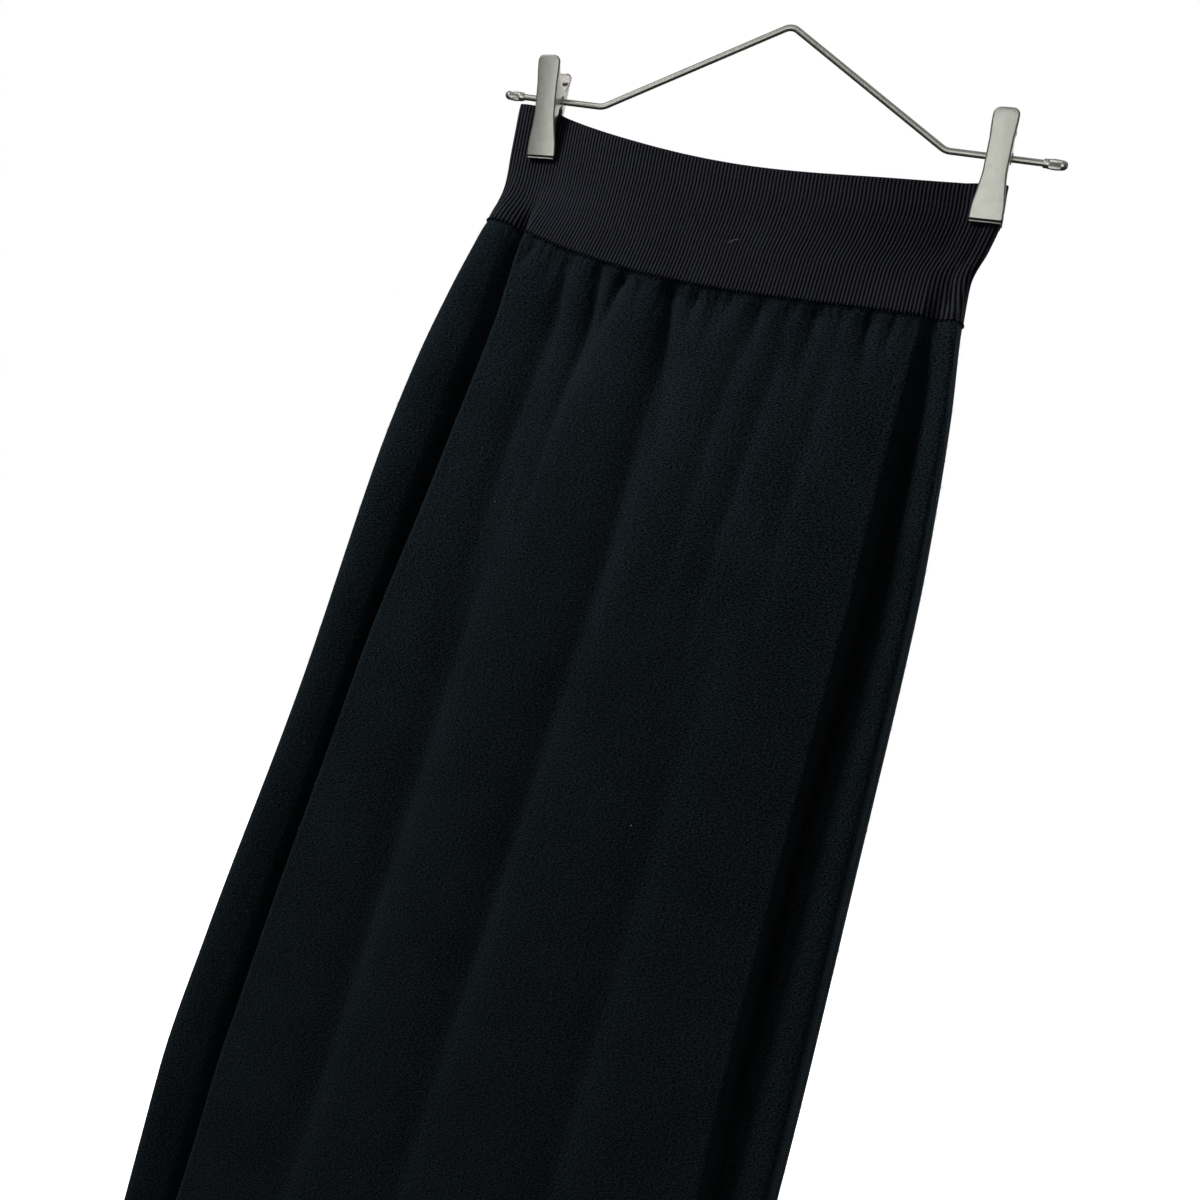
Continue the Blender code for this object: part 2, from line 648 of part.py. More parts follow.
def make_pad(name, front, place, finish):
    """The soft pad inside a jaw's gripping end, with its long edges rounded."""
    width, depth, tall = PAD_SIZE
    mesh = bpy.data.meshes.new(name)
    shape = bmesh.new()
    bmesh.ops.create_cube(shape, size=1.0)
    bmesh.ops.scale(shape, vec=(width, depth, tall), verts=shape.verts)
    bmesh.ops.bevel(
        shape, geom=list(shape.edges), offset=PAD_BEVEL, segments=1, affect="EDGES", profile=0.5
    )
    shape.to_mesh(mesh)
    shape.free()
    pad = add_object(name, mesh, finish)
    side = -1.0 if front else 1.0
    below = (JAW_LENGTH - JAW_BAR_FROM_TOP) * math.cos(JAW_FRONT_LEAN if front else JAW_BACK_LEAN)
    centre = (0.0, side * 0.5 * (PAD_GAP + depth), -below + 0.5 * tall - PAD_BELOW_JAW)
    pad.matrix_world = place @ Matrix.Translation(centre)
    return pad


def make_spring(name, bar, finish):
    """The spring's coils round the bar between the jaws' ears, as the sleeve that they fill."""
    inner = 0.5 * WIRE_DIAMETER + CLEARANCE
    outer = 0.5 * SPRING_DIAMETER
    half = 0.5 * SPRING_LENGTH
    profile = [(-half, inner), (-half, outer), (half, outer), (half, inner)]
    turns = [2.0 * math.pi * k / ROUND_SIDES for k in range(ROUND_SIDES)]
    points = [(x, r * math.cos(turn), r * math.sin(turn)) for x, r in profile for turn in turns]
    faces = []
    for row in range(len(profile)):
        near = row * ROUND_SIDES
        far = (row + 1) % len(profile) * ROUND_SIDES
        for k in range(ROUND_SIDES):
            m = (k + 1) % ROUND_SIDES
            faces.append((near + k, near + m, far + m, far + k))
    spring = add_mesh(name, points, faces, finish)
    spring.matrix_world = bar
    return spring


# Where each clip rides on its bar, and how far the cloth has pulled its jaws aside.
CLIPS = (("left", -0.1490, math.radians(4.1)), ("right", 0.1450, math.radians(2.1)))


def make_clips(metal, rubber):
    for side, x, aside in CLIPS:
        bar = swung(Matrix.Translation((x, 0.0, -HANGER_RISE)))
        place = bar @ Matrix.Rotation(-aside, 4, "Y")
        make_jaw(f"clip_{side}_front_jaw", FRONT_JAW, JAW_FRONT_LEAN, True, place, bar, metal)
        make_jaw(f"clip_{side}_back_jaw", BACK_JAW, JAW_BACK_LEAN, False, place, bar, metal)
        make_pad(f"clip_{side}_front_pad", True, place, rubber)
        make_pad(f"clip_{side}_back_pad", False, place, rubber)
        make_spring(f"clip_{side}_spring", bar, metal)


# ---------------------------------------------------------------- the whole


def main():
    clear_scene()
    knit = material("knit_jersey", KNIT_BLACK, 0.95)
    rib = material("knit_rib", RIB_BLACK, 0.92)
    metal = material("satin_metal", SATIN_METAL, 0.32, 1.0)
    tips = material("cap_metal", CAP_METAL, 0.45, 1.0)
    rubber = material("pad_rubber", PAD_BLACK, 0.7)
    make_waistband(rib)
    make_panel("skirt_front", FRONT_COLUMNS, True, FRONT_GATHERS, FRONT_SOFT_FOLDS, knit)
    make_panel("skirt_back", BACK_COLUMNS, False, BACK_GATHERS, BACK_SOFT_FOLDS, knit)
    make_wire(metal)
    make_cap("end_cap_left", -1, tips)
    make_cap("end_cap_right", 1, tips)
    make_clips(metal, rubber)


main()
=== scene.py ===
"""The looks of a long black knitted skirt that hangs from the two clips of a bent-wire hanger.

Metres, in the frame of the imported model: +Z up, the front of the skirt towards -Y, the origin under the
hanger's top bend. The cloth follows the same level sections as the solids, read more finely.
"""

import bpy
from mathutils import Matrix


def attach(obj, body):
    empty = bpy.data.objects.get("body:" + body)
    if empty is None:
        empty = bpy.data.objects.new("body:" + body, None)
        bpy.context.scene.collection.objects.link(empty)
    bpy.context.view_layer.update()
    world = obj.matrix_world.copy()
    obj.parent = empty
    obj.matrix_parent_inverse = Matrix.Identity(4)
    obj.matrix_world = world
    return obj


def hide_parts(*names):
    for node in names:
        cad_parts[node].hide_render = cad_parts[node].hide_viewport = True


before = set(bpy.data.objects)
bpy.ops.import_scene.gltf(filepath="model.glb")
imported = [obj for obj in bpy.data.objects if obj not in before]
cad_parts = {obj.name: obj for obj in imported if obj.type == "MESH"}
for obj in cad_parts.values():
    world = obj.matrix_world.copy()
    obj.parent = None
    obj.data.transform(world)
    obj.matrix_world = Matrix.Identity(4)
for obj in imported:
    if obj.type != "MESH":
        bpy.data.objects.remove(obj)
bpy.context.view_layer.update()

import math
from collections import namedtuple

import bmesh
import bpy
import numpy as np
from mathutils import Matrix, Vector

# ---------------------------------------------------------------- driving dimensions, as in the solids

WIRE_DIAMETER = 0.004
HANGER_RISE = 0.063  # from the bar's centre line up to the underside of the top bend
BEND_HALF_SPAN = 0.113
TIP_HALF_SPAN = 0.1846
TOP_BEND_RADIUS = 0.008
SIDE_BEND_RADIUS = 0.012
HANGER_SWING = math.radians(1.7)  # left end down

CAP_DIAMETER = 0.0066
CAP_LENGTH = 0.014

JAW_LENGTH = 0.0630
JAW_BAR_FROM_TOP = 0.0226
JAW_METAL = 0.0009
JAW_CORNER = 0.0012
JAW_FRONT_LEAN = math.radians(13.0)
JAW_BACK_LEAN = math.radians(3.5)
PAD_GAP = 0.0066
PAD_SIZE = (0.0186, 0.0012, 0.0085)
PAD_BELOW_JAW = 0.0012
SPRING_DIAMETER = 0.0078
SPRING_LENGTH = 0.0080
CLEARANCE = 0.0003

BAND_HEIGHT = 0.0822
BAND_TOP_Z = -0.073
BAND_DIP = 0.0185
SEAM_DIP = 0.0142
DIP_SKEW = 0.5
SEAM_SKEW = 1.0
CLIP_HALF_SPAN = 0.150
BAND_TILT = 0.0015
SEAM_TILT = 0.0050
BAND_INNER = 0.0010
RIB_VALLEY = 0.0006
RIB_CREST = 0.0012
RIB_COUNT = 282

SKIRT_LENGTH = 0.869
PANEL_WALL = 0.0015
HEM_WALL = 0.0026
HEM_DEPTH = 0.026
SEAM_GAP = 0.0003
SIDE_GAP = 0.00005  # finer than in the solids, so that no light shows through the side seams
SIDE_SEAM_FROM_SIDE = 0.012
SAG_ENDS = 0.6

# Level sections of the hanging tube, coming down from the band's upper edge.
# left, right: the two outer folds. belly, seat: how far the front and the back stand out.
# brow: the ridges where the front turns in. crest: the strips outside them. floor: the valleys between.
# from_left, from_right: how far in from the outer folds those ridges lie.
Section = namedtuple("Section", "drop left right belly brow crest floor from_left from_right seat")
SECTIONS = (
    Section(0.000, -0.1695, 0.1565, 0.0110, 0.0016, 0.0015, 0.0015, 0.037, 0.024, 0.0110),
    Section(0.020, -0.1680, 0.1585, 0.0120, 0.0016, 0.0015, 0.0015, 0.037, 0.024, 0.0120),
    Section(0.038, -0.1663, 0.1560, 0.0130, 0.0016, 0.0015, 0.0015, 0.037, 0.023, 0.0130),
    Section(0.058, -0.1640, 0.1510, 0.0150, 0.0070, 0.0040, 0.0045, 0.033, 0.022, 0.0150),
    Section(0.079, -0.1680, 0.1528, 0.0170, 0.0130, 0.0085, 0.0070, 0.034, 0.023, 0.0160),
    Section(0.138, -0.1825, 0.1622, 0.0270, 0.0220, 0.0130, 0.0055, 0.044, 0.029, 0.0260),
    Section(0.188, -0.1915, 0.1685, 0.0350, 0.0290, 0.0170, 0.0050, 0.051, 0.033, 0.0330),
    Section(0.260, -0.1995, 0.1755, 0.0400, 0.0350, 0.0200, 0.0050, 0.056, 0.036, 0.0380),
    Section(0.410, -0.2075, 0.1835, 0.0420, 0.0370, 0.0220, 0.0060, 0.051, 0.042, 0.0400),
    Section(0.610, -0.2275, 0.1930, 0.0430, 0.0380, 0.0240, 0.0090, 0.056, 0.048, 0.0410),
    Section(0.710, -0.2345, 0.1955, 0.0430, 0.0380, 0.0250, 0.0110, 0.058, 0.049, 0.0410),
    Section(0.869, -0.2330, 0.1930, 0.0420, 0.0360, 0.0240, 0.0120, 0.050, 0.046, 0.0400),
)

# Gathers that run down from the seam. x is where one leaves the seam and lean its drift to the right for
# each metre down; depth is the groove's, width its half width and length how far down it fades.
Fold = namedtuple("Fold", "x lean depth width length")
FRONT_GATHERS = (
    Fold(-0.123, -0.30, 0.0012, 0.0050, 0.022),
    Fold(-0.110, 0.00, 0.0010, 0.0050, 0.024),
    Fold(-0.100, 0.10, 0.0016, 0.0060, 0.075),
    Fold(-0.076, 0.10, 0.0022, 0.0055, 0.060),
    Fold(-0.057, -0.15, 0.0024, 0.0060, 0.055),
    Fold(-0.044, 0.00, 0.0009, 0.0050, 0.020),
    Fold(-0.026, 0.22, 0.0032, 0.0070, 0.095),
    Fold(-0.006, -0.05, 0.0016, 0.0060, 0.028),
    Fold(0.006, 0.05, 0.0014, 0.0050, 0.030),
    Fold(0.016, -0.15, 0.0012, 0.0050, 0.022),
    Fold(0.035, 0.00, 0.0018, 0.0060, 0.034),
    Fold(0.053, 0.00, 0.0011, 0.0050, 0.024),
    Fold(0.070, 0.00, 0.0019, 0.0080, 0.050),
    Fold(0.085, 0.05, 0.0009, 0.0050, 0.020),
    Fold(0.101, 0.12, 0.0021, 0.0050, 0.032),
    Fold(0.116, 0.00, 0.0012, 0.0050, 0.024),
    Fold(0.128, 0.05, 0.0010, 0.0050, 0.020),
)
BACK_GATHERS = (
    Fold(-0.120, 0.10, 0.0014, 0.0055, 0.030),
    Fold(-0.104, -0.10, 0.0020, 0.0060, 0.055),
    Fold(-0.083, 0.00, 0.0012, 0.0050, 0.024),
    Fold(-0.066, 0.12, 0.0026, 0.0065, 0.080),
    Fold(-0.043, 0.00, 0.0015, 0.0055, 0.032),
    Fold(-0.027, -0.08, 0.0019, 0.0060, 0.050),
    Fold(-0.008, 0.05, 0.0011, 0.0050, 0.022),
    Fold(0.011, 0.15, 0.0028, 0.0070, 0.090),
    Fold(0.032, 0.00, 0.0013, 0.0050, 0.026),
    Fold(0.049, -0.10, 0.0021, 0.0060, 0.058),
    Fold(0.070, 0.00, 0.0012, 0.0055, 0.028),
    Fold(0.088, 0.10, 0.0022, 0.0060, 0.062),
    Fold(0.108, 0.00, 0.0014, 0.0050, 0.030),
    Fold(0.124, 0.05, 0.0011, 0.0050, 0.022),
)

# The gathered cloth just below the seam, between its grooves.
PUFF = 0.0009
PUFF_LENGTH = 0.05
SEAM_HOLD = 0.010
GATHER_OPENING = 0.10

# Long soft folds lower down: x at the seam, lean, depth, half width, and the drop where one is deepest.
SoftFold = namedtuple("SoftFold", "x lean depth width drop reach")
FRONT_SOFT_FOLDS = (
    SoftFold(-0.096, -0.020, 0.0036, 0.017, 0.10, 0.12),
    SoftFold(-0.071, -0.010, 0.0032, 0.011, 0.06, 0.10),
    SoftFold(-0.020, 0.050, 0.0030, 0.016, 0.11, 0.12),
    SoftFold(0.030, 0.000, 0.0016, 0.012, 0.08, 0.10),
    SoftFold(0.056, -0.010, 0.0024, 0.014, 0.09, 0.13),
    SoftFold(0.086, 0.020, 0.0020, 0.014, 0.07, 0.10),
    SoftFold(-0.082, -0.035, 0.0050, 0.024, 0.42, 0.34),
    SoftFold(-0.004, -0.040, 0.0042, 0.020, 0.40, 0.30),
    SoftFold(0.071, -0.010, 0.0030, 0.022, 0.52, 0.30),
)
BACK_SOFT_FOLDS = (
    SoftFold(-0.098, 0.020, 0.0030, 0.015, 0.09, 0.12),
    SoftFold(-0.030, -0.030, 0.0034, 0.016, 0.10, 0.12),
    SoftFold(0.026, 0.020, 0.0022, 0.013, 0.07, 0.10),
    SoftFold(0.070, -0.020, 0.0030, 0.015, 0.10, 0.13),
    SoftFold(-0.060, -0.030, 0.0045, 0.024, 0.45, 0.34),
    SoftFold(0.018, 0.010, 0.0040, 0.022, 0.38, 0.32),
    SoftFold(0.088, 0.020, 0.0034, 0.020, 0.55, 0.30),
)

# ---------------------------------------------------------------- finer sizes of the looks

BAND_POINTS_PER_RIB = 6
BAND_ROWS = 37
BAND_LIP = 0.0011  # the rounding of the band's two edges
PANEL_COLUMNS = 457
PANEL_ROWS = 161
GATHER_STRENGTH = 3.1  # against the solids, which read each groove from fewer points
SOFT_STRENGTH = 1.7
SOFT_START = 0.05  # the drop over which the soft folds grow in from the seam
SHARPNESS = 0.45  # how round the bottom of a groove is, as a share of its half width
TUCK = 0.0007  # how far the panels' upper edges are drawn in under the band
TUCK_LENGTH = 0.0022
COARSER = 4  # the cloth's inner face has one point for so many of the outer
FINE_PITCH = 0.0052  # between the small puckers that the band's gathering leaves along the seam
FINE_DEPTH = (0.0003, 0.0011)
FINE_LENGTH = (0.008, 0.030)
FINE_HALF_WIDTH = 0.0017
FINE_SPAN = (-0.150, 0.140)
FINE_SHIFT = 0.002  # how far a pucker is at random from its even place
FINE_LEAN = 0.25
HEM_FADE = 0.002  # the drop over which the panel's wall thickens into its hem

# How the side folds are shared out between the outer fold (0) and the ridge of the solids (1). On the left:
# the ridge, and the depth of the valley beside it. On the right: the ridge, the far edge of the flat strip,
# the bottom of the valley between them, and the valley's depth.
Side = namedtuple("Side", "drop left_ridge left_floor ridge edge valley floor")
SIDES = (
    Side(0.000, 1.00, 1.00, 1.00, 0.42, 0.62, 1.00),
    Side(0.056, 1.00, 1.00, 1.00, 0.42, 0.64, 1.00),
    Side(0.086, 1.03, 0.25, 1.00, 0.42, 0.66, 1.00),
    Side(0.150, 1.13, 0.20, 1.00, 0.44, 0.70, 1.00),
    Side(0.250, 1.07, 0.40, 1.00, 0.54, 0.80, 1.00),
    Side(0.400, 1.00, 0.90, 0.97, 0.70, 0.86, 1.30),
    Side(0.550, 1.00, 1.00, 0.92, 0.66, 0.81, 1.60),
    Side(0.700, 1.00, 1.00, 0.82, 0.56, 0.71, 1.70),
    Side(0.869, 1.00, 1.00, 0.80, 0.52, 0.68, 1.70),
)
UPRIGHT = (0.004, 0.040)  # how near to a side fold, in turns, the ribs begin to follow it
LEFT_EDGE = 0.60  # the far edge of the left strip, as a share of the way to the ridge
LEFT_EDGE_RISE = 0.85  # how far it stands out there, as a share of its crest

# Sewing. Each stitch is a short round piece of yarn.
LINK_REACH = (0.0010, 0.0013)  # of the loops that join the panels to the band, up and down from the seam
LINK_RADIUS = 0.00048
LINK_PROUD = (0.0007, 0.0014, 0.0015, 0.0010, 0.0003)
LADDER_PITCH = 0.0024
LADDER_REACH = 0.0012
LADDER_RADIUS = 0.00026
LADDER_PROUD = (0.0003, 0.0004)  # at the panels' edges, and between them
STITCH_SIDES = 5
HEM_PITCH = 0.0034
HEM_STITCH = 0.0019
HEM_RADIUS = 0.00022

# Loose fibres that stand off the cloth, and specks of lint. Their places are at random but for the marks.
FUZZ_COUNT = 3400
FUZZ_LENGTH = (0.0014, 0.0060)
FUZZ_LIFT = (0.0002, 0.0010)
FUZZ_RADIUS = (0.00004, 0.000075)
FUZZ_CURL = 0.35
SPECK_COUNT = 44
SPECK_SIZE = (0.00016, 0.00042)
Mark = namedtuple("Mark", "x drop size")
FRONT_MARKS = (Mark(0.0524, 0.4344, 0.00100), Mark(-0.0946, 0.2676, 0.00075), Mark(-0.0547, 0.0905, 0.00070))
BAND_FIBRE = Mark(0.0060, 0.0500, 0.0062)
BAND_FIBRE_RADIUS = 0.00013

WALE = 0.0013  # jersey stitches across and down
COURSE = 0.0010
RIB_COURSE = 0.0013

# ---------------------------------------------------------------- making pieces


def add_object(name, data, finish):
    obj = bpy.data.objects.new(name, data)
    data.materials.append(finish)
    bpy.context.scene.collection.objects.link(obj)
    return obj


def add_mesh(name, points, faces, finish, sharp=None):
    """A mesh object, smooth all over or with its sharp edges kept."""
    mesh = bpy.data.meshes.new(name)
    mesh.from_pydata(np.asarray(points, float).tolist(), [], faces)
    mesh.shade_smooth()
    if sharp is not None:
        mesh.set_sharp_from_angle(angle=math.radians(sharp))
    return add_object(name, mesh, finish)


def outward(obj):
    """Turns the faces of a closed piece out."""
    shape = bmesh.new()
    shape.from_mesh(obj.data)
    bmesh.ops.recalc_face_normals(shape, faces=shape.faces)
    shape.to_mesh(obj.data)
    shape.free()
    return obj


def settle(obj, slot, *nodes):
    """Hangs a piece in the part's only body, and hides the solids that it stands for. The finish given as
    slot is not used.
    """
    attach(obj, "root")
    if nodes:
        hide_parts(*nodes)
    return obj


# ---------------------------------------------------------------- materials


class Shader:
    """The nodes of one material, built up from its Principled shader."""

    def __init__(self, name, **values):
        self.material = bpy.data.materials.new(name)
        self.material.use_nodes = True
        self.tree = self.material.node_tree
        self.surface = self.tree.nodes["Principled BSDF"]
        for socket, value in values.items():
            self.surface.inputs[socket.replace("_", " ")].default_value = value

    def link(self, source, target):
        self.tree.links.new(source, target)

    def node(self, kind, **inputs):
        made = self.tree.nodes.new("ShaderNode" + kind)
        for socket, value in inputs.items():
            target = made.inputs[socket.replace("_", " ")]
            if isinstance(value, bpy.types.NodeSocket):
                self.link(value, target)
            else:
                target.default_value = value
        return made

    def sum(self, operation, *values):
        made = self.tree.nodes.new("ShaderNodeMath")
        made.operation = operation
        for target, value in zip(made.inputs, values):
            if isinstance(value, bpy.types.NodeSocket):
                self.link(value, target)
            else:
                target.default_value = value
        return made.outputs[0]

    def blend(self, *shares):
        """The sum of several values, each times its share."""
        value, share = shares[0]
        total = self.sum("MULTIPLY", value, share)
        for value, share in shares[1:]:
            total = self.sum("MULTIPLY_ADD", value, share, total)
        return total

    def noise(self, scale, detail=2.0, roughness=0.5, where=None):
        where = where or self.node("TexCoord").outputs["Object"]
        made = self.node("TexNoise", Vector=where, Scale=scale, Detail=detail, Roughness=roughness)
        return made.outputs["Fac"]

    def cloth_place(self):
        """Distances round and down the cloth, kept on its points."""
        read = self.node("Attribute")
        read.attribute_name = "cloth"
        return read.outputs["Vector"]

    def cloth_axes(self):
        axes = self.node("SeparateXYZ", Vector=self.cloth_place())
        return axes.outputs["X"], axes.outputs["Y"]

    def stretched(self, around, down):
        """The cloth's own axes scaled unequally, for marks that run one way."""
        made = self.node("Mapping", Vector=self.cloth_place(), Scale=(around, down, 1.0))
        return made.outputs["Vector"]

    def colour(self, value, low, high, start=0.0, end=1.0):
        """Colours the surface from low to high as the value rises."""
        made = self.node("ValToRGB", Fac=value)
        made.color_ramp.elements[0].position = start
        made.color_ramp.elements[0].color = (*low, 1.0)
        made.color_ramp.elements[1].position = end
        made.color_ramp.elements[1].color = (*high, 1.0)
        self.link(made.outputs["Color"], self.surface.inputs["Base Color"])

    def bump(self, height, strength, distance):
        made = self.node("Bump", Height=height, Strength=strength, Distance=distance)
        self.link(made.outputs["Normal"], self.surface.inputs["Normal"])


def stitch_arch(knit, across, down, course):
    """How high the yarn stands in rows of V stitches, across being the place in a column of them."""
    leg = knit.sum("ABSOLUTE", knit.sum("SUBTRACT", across, 0.5))
    row = knit.sum("FRACT", knit.sum("ADD", knit.sum("DIVIDE", down, course), leg))
    return knit.sum("SINE", knit.sum("MULTIPLY", row, math.pi))


def jersey_material():
    """Fine black jersey: rows of V stitches under a short fuzz, with painted shade darkening the colour
    between the stitches.
    """
    sheen = dict(Sheen_Weight=0.025, Sheen_Roughness=0.40, Sheen_Tint=(0.80, 0.92, 1.0, 1.0))
    knit = Shader("black_jersey", Roughness=0.98, Specular_IOR_Level=0.03, **sheen)
    around, down = knit.cloth_axes()
    wale = knit.sum("FRACT", knit.sum("DIVIDE", around, WALE))
    column = knit.sum("ABSOLUTE", knit.sum("SINE", knit.sum("MULTIPLY", wale, 2.0 * math.pi)))
    stitch = knit.sum("MULTIPLY", stitch_arch(knit, wale, down, COURSE), column)
    felt = knit.noise(1.0, 3.0, 0.68, knit.stretched(620.0, 1150.0))
    # The stitch term paints shade: darker between the stitches, lighter on their arches. The felt and the
    # coarse noise are the cloth's own uneven tone.
    tone_and_shade = knit.blend((felt, 0.80), (stitch, 0.14), (knit.noise(22.0), 0.06))
    knit.colour(tone_and_shade, (0.0003, 0.0008, 0.0012), (0.0210, 0.0308, 0.0372), 0.395, 0.605)
    knit.bump(knit.blend((stitch, 0.35), (felt, 1.0)), 0.7, 0.0005)
    return knit.material


def rib_material():
    """Black rib knit: the ribs are modelled, and each carries its row of stitches. Their colour is painted
    lighter on the crests and darker in the valleys, as shade.
    """
    sheen = dict(Sheen_Weight=0.03, Sheen_Roughness=0.40, Sheen_Tint=(0.92, 0.94, 1.0, 1.0))
    knit = Shader("black_rib", Roughness=0.96, Specular_IOR_Level=0.04, **sheen)
    around, down = knit.cloth_axes()
    rib = knit.sum("FRACT", around)
    crest = knit.sum("POWER", knit.sum("SINE", knit.sum("MULTIPLY", rib, math.pi)), 2.0)
    arch = stitch_arch(knit, rib, down, RIB_COURSE)
    raised = knit.sum("MULTIPLY", crest, knit.sum("MULTIPLY_ADD", arch, 0.75, 0.30))
    fuzz = knit.noise(1000.0, 3.0, 0.6)
    # The raised term paints shade and highlight: darker in the valleys between ribs and between stitch rows,
    # lighter on the crests. The fuzz and the coarse noise are the yarn's own uneven tone.
    tone_and_shade = knit.blend((raised, 0.60), (fuzz, 0.34), (knit.noise(45.0), 0.08))
    knit.colour(tone_and_shade, (0.0012, 0.0013, 0.0018), (0.0436, 0.0460, 0.0580), 0.26, 0.74)
    knit.bump(knit.blend((raised, 0.8), (fuzz, 0.6)), 0.5, 0.0005)
    return knit.material


def thread_material(name, low, high):
    """Dull spun yarn, for the stitches and for loose fibres."""
    thread = Shader(name, Roughness=0.9, Specular_IOR_Level=0.08)
    spun = thread.noise(700.0)
    thread.colour(spun, low, high, 0.3, 0.7)
    thread.bump(spun, 0.3, 0.0002)
    return thread.material


def lint_material():
    lint = Shader("pale_lint", Roughness=0.8)
    lint.colour(lint.noise(2500.0), (0.16, 0.15, 0.14), (0.42, 0.41, 0.39))
    return lint.material


def metal_material(name, low, high, roughness, grain, relief):
    """Plated metal with a slight clouding, and roughness that wanders with it."""
    metal = Shader(name, Metallic=1.0)
    cloud = metal.noise(140.0, 3.0, 0.6)
    fine = metal.noise(grain, 2.0, 0.5)
    metal.colour(cloud, low, high, 0.3, 0.7)
    wander = metal.sum("MULTIPLY_ADD", fine, 0.12, roughness - 0.06)
    metal.link(wander, metal.surface.inputs["Roughness"])
    metal.bump(fine, relief, 0.0001)
    return metal.material


def pad_material():
    pad = Shader("black_rubber", Roughness=0.7)
    grain = pad.noise(900.0)
    pad.colour(grain, (0.012, 0.012, 0.012), (0.035, 0.035, 0.035))
    pad.bump(grain, 0.3, 0.0002)
    return pad.material


def floor_material():
    glow = dict(Emission_Strength=0.85, Emission_Color=(1.0, 1.0, 1.0, 1.0))
    floor = Shader("pale_floor", Roughness=0.9, **glow)
    floor.colour(floor.noise(3.0), (0.86, 0.86, 0.86), (0.90, 0.90, 0.90))
    return floor.material


# ---------------------------------------------------------------- the hanging tube, as in the solids


def smoothstep(low, high, value):
    t = np.clip((value - low) / (high - low), 0.0, 1.0)
    return t * t * (3.0 - 2.0 * t)


def eased(knots, values, at):
    """The value at one drop, on a curve through the table that never overshoots it."""
    knots = np.asarray(knots, float)
    values = np.asarray(values, float)
    steps = np.diff(knots)
    slopes = np.diff(values) / steps
    tangents = np.zeros(len(knots))
    for i in range(1, len(knots) - 1):
        if slopes[i - 1] * slopes[i] > 0.0:
            tangents[i] = 2.0 * slopes[i - 1] * slopes[i] / (slopes[i - 1] + slopes[i])
    i = int(np.clip(np.searchsorted(knots, at) - 1, 0, len(knots) - 2))
    t = (at - knots[i]) / steps[i]
    return (
        (2 * t**3 - 3 * t**2 + 1) * values[i]
        + (t**3 - 2 * t**2 + t) * steps[i] * tangents[i]
        + (3 * t**2 - 2 * t**3) * values[i + 1]
        + (t**3 - t**2) * steps[i] * tangents[i + 1]
    )


def eased_row(table, drop):
    """The row of a table at any drop."""
    drops = [row.drop for row in table]
    return type(table[0])(*(eased(drops, column, drop) for column in zip(*table)))


# The ridges in the list of guide points, and the side of each on which the cloth turns in.
RIDGES = {4: -1, 8: 1, 10: -1, 16: -1, 20: 1}
TURN_SHARE = 0.20  # how near to a ridge the cloth is held, as shares of the way to the next guide point
BODY_SHARE = 0.11
RIDGE_FULL = 0.0007  # how far the cloth stands out beside a ridge


def creased(guides):
    """The guide points with two more beside each ridge, which keep it narrow."""
    guides = np.array(guides)
    depth = np.abs(guides[:, 1]).max()
    loop = []
    for index, guide in enumerate(guides):
        if index not in RIDGES:
            loop.append(guide)
            continue
        sides = (guides[index - 1], guides[index + 1])
        shares = (TURN_SHARE, BODY_SHARE) if RIDGES[index] < 0 else (BODY_SHARE, TURN_SHARE)
        before, after = (guide + share * (side - guide) for side, share in zip(sides, shares))
        body = after if RIDGES[index] < 0 else before
        body[1] += math.copysign(RIDGE_FULL * depth / 0.04, body[1])
        loop += [before, guide, after]
    return np.array(loop)


def guide_points(cut):
    """The loop that a level section follows, from its left outer fold round by the front."""
    side = eased_row(SIDES, cut.drop)
    inner_left = cut.left + side.left_ridge * cut.from_left
    inner_right = cut.right - side.ridge * cut.from_right
    across = inner_right - inner_left
    back_left = cut.left + 1.10 * cut.from_left
    back_right = cut.right - 1.05 * cut.from_right
    back_across = back_right - back_left
    return creased(
        [
            (cut.left, 0.0),
            (cut.left + 0.18 * cut.from_left, -cut.crest),
            (cut.left + LEFT_EDGE * cut.from_left, -LEFT_EDGE_RISE * cut.crest),
            (inner_left - 0.17 * cut.from_left, -side.left_floor * cut.floor),
            (inner_left, -cut.brow),
            (inner_left + 0.20 * across, -0.5 * (cut.brow + cut.belly) - 0.42 * (cut.belly - cut.brow)),
            (inner_left + 0.50 * across, -cut.belly),
            (inner_left + 0.80 * across, -0.5 * (cut.brow + cut.belly) - 0.38 * (cut.belly - cut.brow)),
            (inner_right, -cut.brow),
            (cut.right - side.valley * cut.from_right, -side.floor * cut.floor),
            (cut.right - side.edge * cut.from_right, -0.82 * cut.crest),
            (cut.right - 0.12 * cut.from_right, -1.04 * cut.crest),
            (cut.right, 0.0),
            (cut.right - 0.10 * cut.from_right, 0.70 * cut.crest),
            (cut.right - 0.40 * cut.from_right, 0.90 * cut.crest),
            (cut.right - 0.76 * cut.from_right, 1.15 * cut.floor),
            (back_right, 0.94 * cut.brow),
            (back_right - 0.22 * back_across, 0.55 * cut.seat + 0.45 * cut.brow),
            (back_right - 0.52 * back_across, cut.seat),
            (back_right - 0.80 * back_across, 0.60 * cut.seat + 0.40 * cut.brow),
            (back_left, 0.92 * cut.brow),
            (cut.left + 0.80 * cut.from_left, 1.20 * cut.floor),
            (cut.left + 0.38 * cut.from_left, 1.05 * cut.crest),
        ]
    )


